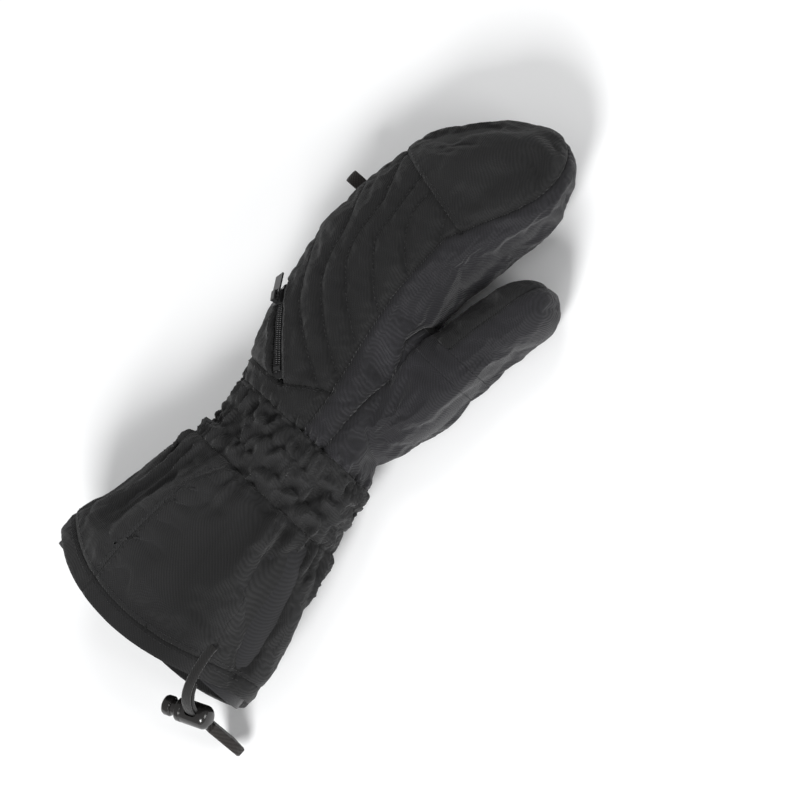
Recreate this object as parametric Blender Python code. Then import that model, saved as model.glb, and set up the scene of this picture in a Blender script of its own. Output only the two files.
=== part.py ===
"""Insulated gauntlet ski mitten for the left hand, lying palm down.

The mitten is described in a frame whose zero is the middle of the wrist on the floor: +X points to the
thumb, +Y to the fingertips and +Z to the back of the hand. One empty carries every part from there to
the reference point of the whole mitten, the middle of its footprint.

The shell, the padding and the lining are layers between two closed volumes of the same mitten, one
inside the other. Each panel is the stretch of a layer between its seams.
"""

import math

import bmesh
import bpy
from mathutils import Matrix, Vector

# Where the wrist's middle lies from the middle of the mitten's footprint.
WRIST_PLACE = Vector((0.0029, -0.0376, 0.0))

# Body sections: distance from the wrist, centre x, half width, centre height, half height.
SECTIONS = (
    (-0.150, 0.009, 0.069, 0.0355, 0.0380),
    (-0.100, 0.009, 0.067, 0.0350, 0.0370),
    (-0.050, 0.007, 0.055, 0.0325, 0.0325),
    (-0.027, 0.005, 0.047, 0.0315, 0.0280),
    (0.000, 0.003, 0.0445, 0.0310, 0.0265),
    (0.022, -0.008, 0.0440, 0.0300, 0.0285),
    (0.045, -0.018, 0.0435, 0.0285, 0.0300),
    (0.075, -0.0265, 0.0405, 0.0275, 0.0305),
    (0.100, -0.0290, 0.0400, 0.0270, 0.0300),
    (0.125, -0.0262, 0.0420, 0.0265, 0.0290),
    (0.150, -0.0215, 0.0427, 0.0260, 0.0265),
    (0.180, -0.0136, 0.0427, 0.0255, 0.0265),
    (0.203, -0.0074, 0.0427, 0.0250, 0.0265),
)
BODY_TIP = 0.203
BODY_TIP_ROUND = 0.053
BODY_START = -0.150
INNER_OVERRUN = 0.012
TIP_WIDTH_POWER = 1.25
TIP_HEIGHT_POWER = 1.45

# Thumb sections: distance from the wrist, centre x, half width, centre height, half height.
THUMB_SECTIONS = (
    (0.012, 0.018, 0.014, 0.024, 0.016),
    (0.045, 0.0262, 0.0225, 0.0200, 0.0205),
    (0.075, 0.0315, 0.0195, 0.0185, 0.0190),
    (0.100, 0.0350, 0.0180, 0.0180, 0.0180),
    (0.120, 0.0395, 0.0172, 0.0180, 0.0172),
    (0.141, 0.0425, 0.0172, 0.0180, 0.0172),
)
THUMB_TIP = 0.141
THUMB_TIP_ROUND = 0.021
THUMB_START = 0.012
THUMB_TIP_POWER = 1.0

SECTION_POWER = 2.35
AROUND = 24
ALONG = 22
THUMB_AROUND = 14
THUMB_ALONG = 11
TIP_SHARE = 0.24

# Layers, as depths below the outer face.
SHELL_DEPTH = 0.0012
POCKET_OUT, POCKET_IN = 0.0016, 0.0026
PADDING_OUT, PADDING_IN = 0.0030, 0.0080
LINING_OUT, LINING_IN = 0.0084, 0.0094
CUFF_PAD_OUT, CUFF_PAD_IN = 0.0016, 0.0040
CUFF_LINING_OUT, CUFF_LINING_IN = 0.0044, 0.0054
SEAM_GAP = 0.0004

# Seams and creases, as distances from the wrist.
WRIST_TOP = 0.006
WRIST_LOW = -0.030
WRIST_AXIS = Vector((0.0, (WRIST_TOP + WRIST_LOW) / 2, 0.031))
CREASE_LOW = 0.074
CREASE_TOP = 0.085
THUMB_AXIS = Vector((0.0325, (CREASE_LOW + CREASE_TOP) / 2, 0.0185))
HEM_BACK = -0.128
HEM_SCOOP = 0.017
HEM_DEPTH = 0.010
CUFF_MID = 0.012
CUFF_HALF = 0.067
TIP_SPLIT = -0.010
PALM_SEAM = 0.011
GRIP_MID = -0.025
GRIP_HALF = 0.026
GRIP_ROUND_START = 0.135
GRIP_TOP = 0.170
GRIP_LOW = 0.012

FAR = 0.25
WIDE = 0.1
LONG = 0.21

# Pocket zip, along a straight line in plan over the back of the hand.
ZIP_LOW, ZIP_TOP = 0.017, 0.056
ZIP_SLOT_PLAN = 0.0056
ZIP_TAPE_DEPTH = 0.0027
ZIP_TAPE_THICK = 0.0004
ZIP_TAPE_HALF = 0.0046
ZIP_COIL_HALF = 0.0019
ZIP_COIL_HEIGHT = 0.0014
ZIP_STEPS = 14
SLIDER_CLOSED = 0.047
SLIDER_OPEN = 0.024
SLIDER_LENGTH = 0.0085
SLIDER_HALF = 0.0030
SLIDER_CHANNEL_HALF = 0.0024
SLIDER_PLATE = 0.0010
PULL_LENGTH = 0.017
PULL_WIDTH = 0.0042
PULL_THICK = 0.0009
BRIDGE_RISE = 0.0030
PULL_REST = math.radians(-3)

# Hem drawcord: a slit in the gauntlet's thumb-side seam, two legs, a spring lock and a sewn end.
CORD_THICK = 0.0018
SLIT_PLACE = -0.101
SLIT_X = 0.0598
OUTER_LEG = (
    (0.0599, -0.1012, 0.0637), (0.0604, -0.1050, 0.0646), (0.0612, -0.1105, 0.0645),
    (0.0620, -0.1165, 0.0637), (0.0627, -0.1225, 0.0616), (0.0632, -0.1275, 0.0578),
    (0.0636, -0.1312, 0.0524), (0.0639, -0.1334, 0.0458), (0.0640, -0.1342, 0.0390),
    (0.0640, -0.1342, 0.0320), (0.0646, -0.1343, 0.0272),
)
INNER_LEG = (
    (0.0622, -0.1212, 0.0583), (0.0627, -0.1238, 0.0571), (0.0632, -0.1268, 0.0545),
    (0.0636, -0.1295, 0.0505), (0.0639, -0.1312, 0.0455), (0.0640, -0.1319, 0.0390),
    (0.0640, -0.1319, 0.0320), (0.0646, -0.1319, 0.0272),
)
LOCK_MIDDLE = Vector((0.0640, -0.13305, 0.0380))
LOCK_TURN = math.radians(22)
LOCK_LENGTH = 0.0190
LOCK_RADIUS = 0.0062
LOCK_WALL = 0.0018
LOCK_HOLE_SIZE = Vector((0.0066, 0.0052, 0.02))
PLUNGER_CLEARANCE = 0.0004
PLUNGER_STEM = 0.0135
PLUNGER_TRAVEL = 0.0025
KNOB_RADIUS = 0.0052
KNOB_LENGTH = 0.0050
SPRING_WIRE = 0.00025
SPRING_TURNS = 4
TAB_LENGTH = 0.0240
TAB_WIDTH = 0.0150
TAB_THICK = 0.0030
TAB_LEAN = math.radians(28)
HEM_CORD_DEPTH = 0.0030
HEM_CORD_RADIUS = 0.0006
CHANNEL_OUT, CHANNEL_IN = 0.0014, 0.0041
CHANNEL_FLOOR = 0.0015

FINGER_LOOP_MIDDLE = Vector((-0.0762, 0.118, 0.0250))
FINGER_LOOP_LONG, FINGER_LOOP_HIGH, FINGER_LOOP_WIDE = 0.0062, 0.0022, 0.0070
WEBBING = 0.0005


def lerp(start, end, share):
    """The value a share of the way from start to end."""
    return start + (end - start) * share


def clamp(value, low, high):
    """The value held between two limits."""
    return max(low, min(high, value))


def through(rows, place):
    """A smooth curve through rows of (place, value, ...), read at one place."""
    place = clamp(place, rows[0][0], rows[-1][0])
    index = 0
    while index < len(rows) - 2 and place > rows[index + 1][0]:
        index += 1
    before = rows[max(index - 1, 0)]
    start = rows[index]
    end = rows[index + 1]
    after = rows[min(index + 2, len(rows) - 1)]
    span = end[0] - start[0]
    share = (place - start[0]) / span
    values = []
    for column in range(1, len(start)):
        start_slope = (end[column] - before[column]) / (end[0] - before[0]) * span
        end_slope = (after[column] - start[column]) / (after[0] - start[0]) * span
        rise = end[column] - start[column]
        cubic = start_slope + end_slope - 2 * rise
        square = 3 * rise - 2 * start_slope - end_slope
        values.append(start[column] + share * (start_slope + share * (square + share * cubic)))
    return values


def tip_closing(place, tip, round_length):
    """How far the rounded end has closed: one on the body, zero at the tip."""
    travel = clamp((place - tip + round_length) / round_length, 0.0, 1.0)
    return math.sqrt(1.0 - travel * travel)


def superellipse(angle, half_width, half_height):
    """A point on a rounded section."""
    power = 2 / SECTION_POWER
    across = math.copysign(abs(math.cos(angle)) ** power, math.cos(angle))
    up = math.copysign(abs(math.sin(angle)) ** power, math.sin(angle))
    return half_width * across, half_height * up


def body_point(place, angle):
    """A point on the outer face of hand and gauntlet; the underside lies flat on the floor."""
    centre, half_width, height, half_height = through(SECTIONS, place)
    closing = tip_closing(place, BODY_TIP, BODY_TIP_ROUND)
    half_width *= closing ** TIP_WIDTH_POWER
    half_height *= closing ** TIP_HEIGHT_POWER
    across, up = superellipse(angle, half_width, half_height)
    return Vector((centre + across, place, max(height + up, 0.0)))


def thumb_point(place, angle):
    """A point on the outer face of the thumb."""
    centre, half_width, height, half_height = through(THUMB_SECTIONS, place)
    closing = tip_closing(place, THUMB_TIP, THUMB_TIP_ROUND) ** THUMB_TIP_POWER
    across, up = superellipse(angle, half_width * closing, half_height * closing)
    return Vector((centre + across, place, max(height + up, 0.0)))


def sunk(point_at, place, angle, depth, start, tip):
    """The point a depth inside a face, found along its normal."""
    if place >= tip - 1e-6:
        centre = point_at(tip, 0.0)
        return Vector((centre.x, tip - depth, centre.z))
    step = 0.0006
    low = max(place - step, start)
    high = min(place + step, tip - 1e-5)
    lengthwise = point_at(high, angle) - point_at(low, angle)
    roundwise = point_at(place, angle + 0.04) - point_at(place, angle - 0.04)
    normal = lengthwise.cross(roundwise).normalized()
    return point_at(place, angle) - normal * depth


def place_along(share, start, tip, round_length):
    """Ring places: even along the body, and closer together round the tip."""
    if share <= 1 - TIP_SHARE:
        return lerp(start, tip - round_length, share / (1 - TIP_SHARE))
    turn = (share - 1 + TIP_SHARE) / TIP_SHARE * math.pi / 2
    return tip - round_length + round_length * math.sin(turn)


def link(obj, collection):
    """Puts an object in a collection and under the mitten's frame."""
    collection.objects.link(obj)
    obj.parent = mitten_frame
    return obj


def as_cutter(obj):
    """Marks an object as a cutter."""
    obj.hide_render = True
    obj.display_type = "WIRE"
    return obj


def mesh_from(bm, name):
    """Turns a closed bmesh, faced outwards, into a mesh and frees it."""
    if bm.calc_volume(signed=True) < 0:
        bmesh.ops.reverse_faces(bm, faces=bm.faces)
    mesh = bpy.data.meshes.new(name)
    bm.to_mesh(mesh)
    bm.free()
    return mesh


def pouch(name, point_at, start, tip, round_length, segments, depth, overrun=0.0):
    """A closed volume of the body or the thumb, a depth inside its outer face.

    Its start comes to a point, which an overrun draws out past the volumes around it.
    """
    around, along = segments
    bm = bmesh.new()
    bmesh.ops.create_uvsphere(bm, u_segments=around, v_segments=along, radius=1.0)
    for vert in bm.verts:
        share = math.asin(clamp(vert.co.z, -1.0, 1.0)) / math.pi + 0.5
        angle = math.atan2(vert.co.y, vert.co.x)
        if share < 1e-4:
            floor = point_at(start, 0.0)
            vert.co = Vector((floor.x - 0.005, start - overrun, floor.z))
        else:
            place = place_along(share, start, tip, round_length)
            vert.co = sunk(point_at, place, angle, depth, start, tip)
    return as_cutter(link(bpy.data.objects.new(name, mesh_from(bm, name)), cutters))


def evaluated_mesh(obj):
    """The object's mesh with its modifiers applied."""
    bpy.context.view_layer.update()
    graph = bpy.context.evaluated_depsgraph_get()
    return bpy.data.meshes.new_from_object(obj.evaluated_get(graph))


def cut(obj, cutter, operation):
    """Adds a Boolean to an object. The exact solver empties some of these panels, so all use the other."""
    modifier = obj.modifiers.new(operation.lower(), "BOOLEAN")
    modifier.operation = operation
    modifier.object = cutter
    modifier.solver = "MANIFOLD"
    return obj


def volume(depth, overrun=0.0):
    """The whole mitten, hand, gauntlet and thumb in one, a depth inside its outer face."""
    label = f"volume_{depth * 1e6:.0f}"
    body = pouch(label, body_point, BODY_START, BODY_TIP, BODY_TIP_ROUND, (AROUND, ALONG), depth, overrun)
    thumb = pouch(label + "_thumb", thumb_point, THUMB_START, THUMB_TIP, THUMB_TIP_ROUND,
                  (THUMB_AROUND, THUMB_ALONG), depth)
    cut(body, thumb, "UNION")
    body.data = evaluated_mesh(body)
    body.modifiers.clear()
    bpy.data.objects.remove(thumb)
    return body


def layer(outer_depth, inner_depth):
    """The mesh between two depths, open past the hem, where the inner volume runs on."""
    outer = volume(outer_depth)
    inner = volume(inner_depth, INNER_OVERRUN)
    cut(outer, inner, "DIFFERENCE")
    mesh = evaluated_mesh(outer)
    bpy.data.objects.remove(outer)
    bpy.data.objects.remove(inner)
    return mesh


def block(name, x_limits, y_limits, z_limits, steps=(1, 1)):
    """A cutter block; each limit is a function of the two other places that can bend it."""
    bm = bmesh.new()
    bmesh.ops.create_cube(bm, size=1.0)
    for axis, cuts in enumerate(steps):
        if cuts > 1:
            edges = [e for e in bm.edges if abs(e.verts[0].co[axis] - e.verts[1].co[axis]) > 1e-4]
            bmesh.ops.subdivide_edges(bm, edges=edges, cuts=cuts - 1, use_grid_fill=True)
    for vert in bm.verts:
        across, along, up = (c + 0.5 for c in vert.co)
        rough_x = lerp(x_limits[0](0.0), x_limits[1](0.0), across)
        y = lerp(y_limits[0](rough_x), y_limits[1](rough_x), along)
        x = lerp(x_limits[0](y), x_limits[1](y), across)
        vert.co = Vector((x, y, lerp(z_limits[0](x, y), z_limits[1](x, y), up)))
    bmesh.ops.triangulate(bm, faces=bm.faces)
    return as_cutter(link(bpy.data.objects.new(name, mesh_from(bm, name)), cutters))


def at(value):
    """A limit that is the same everywhere."""
    return lambda *_: value


def back_seam(x, y):
    """Height of the seam between the back and the sides."""
    cuff = 0.0445 + 0.30 * x
    hand = 0.0534 + 0.32 * x
    tip_drop = 0.0275 * clamp((y - 0.125) / 0.075, 0.0, 1.0)
    return lerp(cuff, hand, clamp((y + 0.05) / 0.06, 0.0, 1.0)) - tip_drop


def cross_seam(x):
    """Place of the seam across the fingertips."""
    return 0.132 + 0.222 * (0.001 - x)


def yoke_seam(x):
    """Place of the seam below the pocket."""
    return 0.016 + 0.586 * clamp(x + 0.016, 0.0, 0.03)


def thumb_line(y):
    """The line in plan between the hand and the thumb."""
    rows = ((-0.2, 0.026), (0.010, 0.026), (0.055, 0.0205), (0.074, 0.0125), (0.085, 0.0118),
            (0.100, 0.0138), (0.125, 0.0190), (0.141, 0.0235), (0.152, 0.050), (0.25, 0.050))
    for start, end in zip(rows, rows[1:]):
        if y <= end[0]:
            return lerp(start[1], end[1], (y - start[0]) / (end[0] - start[0]))
    return rows[-1][1]


def zip_line(y):
    """The line in plan that the pocket's zip follows."""
    return clamp(-0.0163 - (y - 0.015) * 1.095, -0.09, 0.09)


def cuff_seam(y):
    """The line in plan of the twin-stitched seam on the gauntlet."""
    bend = clamp((y + 0.058) / 0.028, 0.0, 1.0)
    return -0.011 + 0.012 * bend * bend


def hem_line(x):
    """Place of the gauntlet's lower edge."""
    return HEM_BACK + HEM_SCOOP * ((x - CUFF_MID) / CUFF_HALF) ** 2


def hem_top(x):
    """Place of the hem's upper edge."""
    return hem_line(x) + HEM_DEPTH


def grip_side(sign, grow):
    """One side of the palm grip's outline, with a round top."""
    def side(y):
        rise = clamp((y - GRIP_ROUND_START) / (GRIP_TOP + grow - GRIP_ROUND_START), 0.0, 0.999)
        return GRIP_MID + sign * (GRIP_HALF + grow) * math.sqrt(1 - rise * rise)
    return side


HALF_GAP = SEAM_GAP / 2


def side_of(axis, function, sign):
    """The block on one side of a seam, drawn back by half the seam's gap."""
    label = f"{'past' if sign > 0 else 'before'}_{axis}_{getattr(function, '__name__', 'level')}"
    known = side_blocks.get((axis, function, sign))
    if known:
        return known
    limits = {"x": [at(-WIDE), at(WIDE)], "y": [at(-LONG), at(LONG)], "z": [at(-WIDE), at(FAR)]}
    limits[axis][0 if sign > 0 else 1] = lambda *p: function(*p) + sign * HALF_GAP
    straight = function in levels.values()
    steps = (1, 1) if straight else {"x": (1, 34), "y": (16, 1), "z": (4, 18)}[axis]
    made = block(label, limits["x"], limits["y"], limits["z"], steps)
    side_blocks[(axis, function, sign)] = made
    return made


def level(value):
    """A straight seam at one place; the same place always gives the same function."""
    if value not in levels:
        levels[value] = at(value)
    return levels[value]


def finish(obj, colour, roughness, metallic=0.0):
    """Gives an object its own plain material and smooth shading."""
    material = bpy.data.materials.new(obj.name)
    material.use_nodes = True
    shader = material.node_tree.nodes["Principled BSDF"]
    shader.inputs["Base Color"].default_value = (*colour, 1.0)
    shader.inputs["Roughness"].default_value = roughness
    shader.inputs["Metallic"].default_value = metallic
    obj.data.materials.clear()
    obj.data.materials.append(material)
    return obj


def island(start):
    """The vertices joined to one vertex."""
    found = {start}
    edge_of_search = [start]
    while edge_of_search:
        for edge in edge_of_search.pop().link_edges:
            for vert in edge.verts:
                if vert not in found:
                    found.add(vert)
                    edge_of_search.append(vert)
    return found


def settle(obj):
    """Applies an object's cuts and drops the crumbs that a seam can shave off."""
    obj.data = evaluated_mesh(obj)
    obj.modifiers.clear()
    bm = bmesh.new()
    bm.from_mesh(obj.data)
    islands = []
    left = set(bm.verts)
    while left:
        islands.append(island(next(iter(left))))
        left -= islands[-1]
    islands.sort(key=len)
    crumbs = [vert for small in islands[:-1] for vert in small]
    bmesh.ops.delete(bm, geom=crumbs, context="VERTS")
    bm.to_mesh(obj.data)
    bm.free()
    return obj


def panel(name, mesh, sides, colour, roughness, without=(), within=()):
    """One sewn piece: the stretch of a layer on the given sides of its seams."""
    obj = link(bpy.data.objects.new(name, mesh.copy()), parts)
    for axis, function, sign in sides:
        cut(obj, side_of(axis, function, sign), "INTERSECT")
    for cutter in within:
        cut(obj, cutter, "INTERSECT")
    for cutter in without:
        cut(obj, cutter, "DIFFERENCE")
    return finish(settle(obj), colour, roughness)


def clear_scene():
    """Removes what the scene held."""
    for obj in list(bpy.data.objects):
        bpy.data.objects.remove(obj)


FABRIC = (0.028, 0.028, 0.031)
FABRIC_BLUE = (0.034, 0.034, 0.040)
GRIP = (0.030, 0.030, 0.030)
PADDING = (0.75, 0.75, 0.72)
LINING = (0.055, 0.055, 0.060)
GLOSS = (0.008, 0.008, 0.008)

clear_scene()
side_blocks = {}
levels = {}
parts = bpy.data.collections.new("ski_mitten")
cutters = bpy.data.collections.new("cutters")
bpy.context.scene.collection.children.link(parts)
bpy.context.scene.collection.children.link(cutters)
mitten_frame = bpy.data.objects.new("mitten_frame", None)
mitten_frame.location = WRIST_PLACE
bpy.context.scene.collection.objects.link(mitten_frame)


def build_hand_shell():
    """The outer panels of the hand."""
    shell = layer(0.0, SHELL_DEPTH)
    above = ("z", back_seam, 1)
    below = ("z", back_seam, -1)
    hand = ("y", level(WRIST_TOP), 1)
    not_thumb = ("x", thumb_line, -1)
    panel("fingertip_panel", shell, [above, ("y", cross_seam, 1)], FABRIC, 0.8)
    slot = block("zip_slot", (lambda y: zip_line(y) - ZIP_SLOT_PLAN, lambda y: zip_line(y) + ZIP_SLOT_PLAN),
                 (at(ZIP_LOW), at(ZIP_TOP)), (at(0.02), at(FAR)))
    panel("back_quilt_panel", shell,
          [("x", zip_line, 1), not_thumb, above, ("y", cross_seam, -1), ("y", yoke_seam, 1)],
          FABRIC, 0.8, without=[slot])
    panel("zip_side_panel", shell, [("x", zip_line, -1), above, ("y", yoke_seam, 1)],
          FABRIC, 0.8, without=[slot])
    panel("back_yoke", shell, [above, hand, ("y", yoke_seam, -1), not_thumb], FABRIC, 0.8)
    side = [below, ("z", level(PALM_SEAM), 1), hand]
    panel("outer_gusset", shell, side + [("x", level(TIP_SPLIT), -1)], FABRIC, 0.8)
    panel("index_gusset", shell, side + [("x", level(TIP_SPLIT), 1), not_thumb], FABRIC_BLUE, 0.75)
    palm = [("z", level(PALM_SEAM), -1), hand, not_thumb]
    wide = block("grip_outline_wide", (grip_side(-1, HALF_GAP), grip_side(1, HALF_GAP)),
                 (at(-LONG), at(GRIP_TOP + HALF_GAP)), (at(-WIDE), at(FAR)), (1, 60))
    exact = block("grip_outline", (grip_side(-1, -HALF_GAP), grip_side(1, -HALF_GAP)),
                  (at(-LONG), at(GRIP_TOP - HALF_GAP)), (at(-WIDE), at(FAR)), (1, 60))
    panel("palm_border_panel", shell, palm, FABRIC, 0.8, without=[wide])
    panel("palm_grip_panel", shell, palm, GRIP, 0.6, within=[exact])
    thumb_side = ("x", thumb_line, 1)
    panel("thumb_base_panel", shell, [hand, thumb_side, ("y", level(CREASE_LOW), -1)], FABRIC_BLUE, 0.75)
    panel("thumb_crease_sleeve", shell,
          [thumb_side, ("y", level(CREASE_LOW), 1), ("y", level(CREASE_TOP), -1)], FABRIC_BLUE, 0.75)
    thumb = [thumb_side, ("y", level(CREASE_TOP), 1)]
    panel("thumb_outer_panel", shell, thumb + [("x", thumb_middle, 1)], FABRIC_BLUE, 0.75)
    panel("thumb_inner_panel", shell, thumb + [("x", thumb_middle, -1)], FABRIC, 0.8)
    wrist = [("y", level(WRIST_TOP), -1), ("y", level(WRIST_LOW), 1)]
    panel("wrist_gather_back", shell, wrist + [above], FABRIC, 0.8)
    panel("wrist_gather_palm", shell, wrist + [below], FABRIC, 0.8)
    cuff = [("y", level(WRIST_LOW), -1), ("y", hem_top, 1)]
    slit = slit_cutter()
    panel("cuff_back_panel", shell, cuff + [above, ("x", cuff_seam, 1)], FABRIC, 0.8, without=[slit])
    panel("cuff_outer_panel", shell, cuff + [above, ("x", cuff_seam, -1)], FABRIC, 0.8)
    panel("cuff_palm_panel", shell, cuff + [below], FABRIC, 0.8, without=[slit])


def thumb_middle(y):
    """The line in plan of the seam along the thumb's top edge."""
    return through(THUMB_SECTIONS, y)[0] - 0.001


def build_inside():
    """Padding and lining of hand, thumb, wrist and gauntlet."""
    hand = ("y", level(WRIST_TOP), 1)
    thumb_part = block("thumb_room", (lambda y: thumb_line(y) - HALF_GAP, at(WIDE)),
                       (at(CREASE_LOW - HALF_GAP), at(LONG)), (at(-WIDE), at(FAR)), (1, 12))
    thumb_side = ("x", thumb_line, 1)
    thumb = [thumb_side, ("y", level(CREASE_TOP), 1)]
    padding = layer(PADDING_OUT, PADDING_IN)
    panel("hand_padding_back", padding, [hand, ("z", back_seam, 1)], PADDING, 0.95, [thumb_part])
    panel("hand_padding_palm", padding, [hand, ("z", back_seam, -1)], PADDING, 0.95, [thumb_part])
    panel("thumb_padding", padding, thumb, PADDING, 0.95)
    lining = layer(LINING_OUT, LINING_IN)
    panel("hand_lining", lining, [hand], LINING, 0.95, [thumb_part])
    panel("thumb_lining", lining, thumb, LINING, 0.95)
    panel("thumb_crease_lining", lining,
          [thumb_side, ("y", level(CREASE_LOW), 1), ("y", level(CREASE_TOP), -1)], LINING, 0.95)
    panel("wrist_lining", lining, [("y", level(WRIST_TOP), -1), ("y", level(WRIST_LOW), 1)], LINING, 0.95)
    cuff = [("y", level(WRIST_LOW), -1), ("y", hem_top, 1)]
    panel("cuff_padding", layer(CUFF_PAD_OUT, CUFF_PAD_IN), cuff, PADDING, 0.95)
    panel("cuff_lining", layer(CUFF_LINING_OUT, CUFF_LINING_IN), cuff, LINING, 0.95)


def back_point(x, y, depth=0.0):
    """The point on the back of the hand over a place in plan, a depth inside the face."""
    centre, half_width = through(SECTIONS, y)[:2]
    reach = clamp((x - centre) / half_width, -0.999, 0.999)
    cosine = math.copysign(abs(reach) ** (SECTION_POWER / 2), reach)
    return sunk(body_point, y, math.acos(cosine), depth, BODY_START, BODY_TIP)


def zip_frame(y, depth):
    """The zip's place at one distance from the wrist, its direction, its cross direction and outward."""
    here = back_point(zip_line(y), y, depth)
    ahead = back_point(zip_line(y + 0.001), y + 0.001, depth)
    run = (ahead - here).normalized()
    out = (back_point(zip_line(y), y, 0.0) - back_point(zip_line(y), y, 0.002)).normalized()
    cross = run.cross(out).normalized()
    return here, run, cross, cross.cross(run).normalized()


def swept_bar(name, low, high, across_low, across_high, depth, rise, colour, roughness):
    """A flat bar along the zip between two cross places, standing a rise above a depth."""
    bm = bmesh.new()
    bmesh.ops.create_cube(bm, size=1.0)
    edges = [e for e in bm.edges if abs(e.verts[0].co.y - e.verts[1].co.y) > 0.5]
    bmesh.ops.subdivide_edges(bm, edges=edges, cuts=ZIP_STEPS - 1, use_grid_fill=True)
    for vert in bm.verts:
        here, _, cross, out = zip_frame(lerp(low, high, vert.co.y + 0.5), depth)
        across = lerp(across_low, across_high, vert.co.x + 0.5)
        vert.co = here + cross * across + out * rise * (vert.co.z + 0.5)
    obj = link(bpy.data.objects.new(name, mesh_from(bm, name)), parts)
    return finish(obj, colour, roughness)


def circle_through(first, second, third):
    """Centre of the circle through three points."""
    a = first - third
    b = second - third
    axis = a.cross(b)
    offset = (b * a.length_squared - a * b.length_squared).cross(axis) / (2 * axis.length_squared)
    return third + offset


def box_mesh(bm, size, middle):
    """Adds a box to a bmesh."""
    made = bmesh.ops.create_cube(bm, size=1.0)["verts"]
    bmesh.ops.scale(bm, vec=size, verts=made)
    bmesh.ops.translate(bm, vec=middle, verts=made)


def solid_from_boxes(name, boxes, colour, roughness, metallic=0.0):
    """One solid joined from overlapping boxes, each a size and a middle."""
    pieces = []
    for number, (size, middle) in enumerate(boxes):
        bm = bmesh.new()
        box_mesh(bm, size, middle)
        pieces.append(bpy.data.objects.new(f"{name}_{number}", mesh_from(bm, name)))
        cutters.objects.link(as_cutter(pieces[-1]))
    body = pieces[0]
    for piece in pieces[1:]:
        cut(body, piece, "UNION")
    mesh = evaluated_mesh(body)
    for piece in pieces:
        bpy.data.objects.remove(piece)
    return finish(link(bpy.data.objects.new(name, mesh), parts), colour, roughness, metallic)


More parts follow.
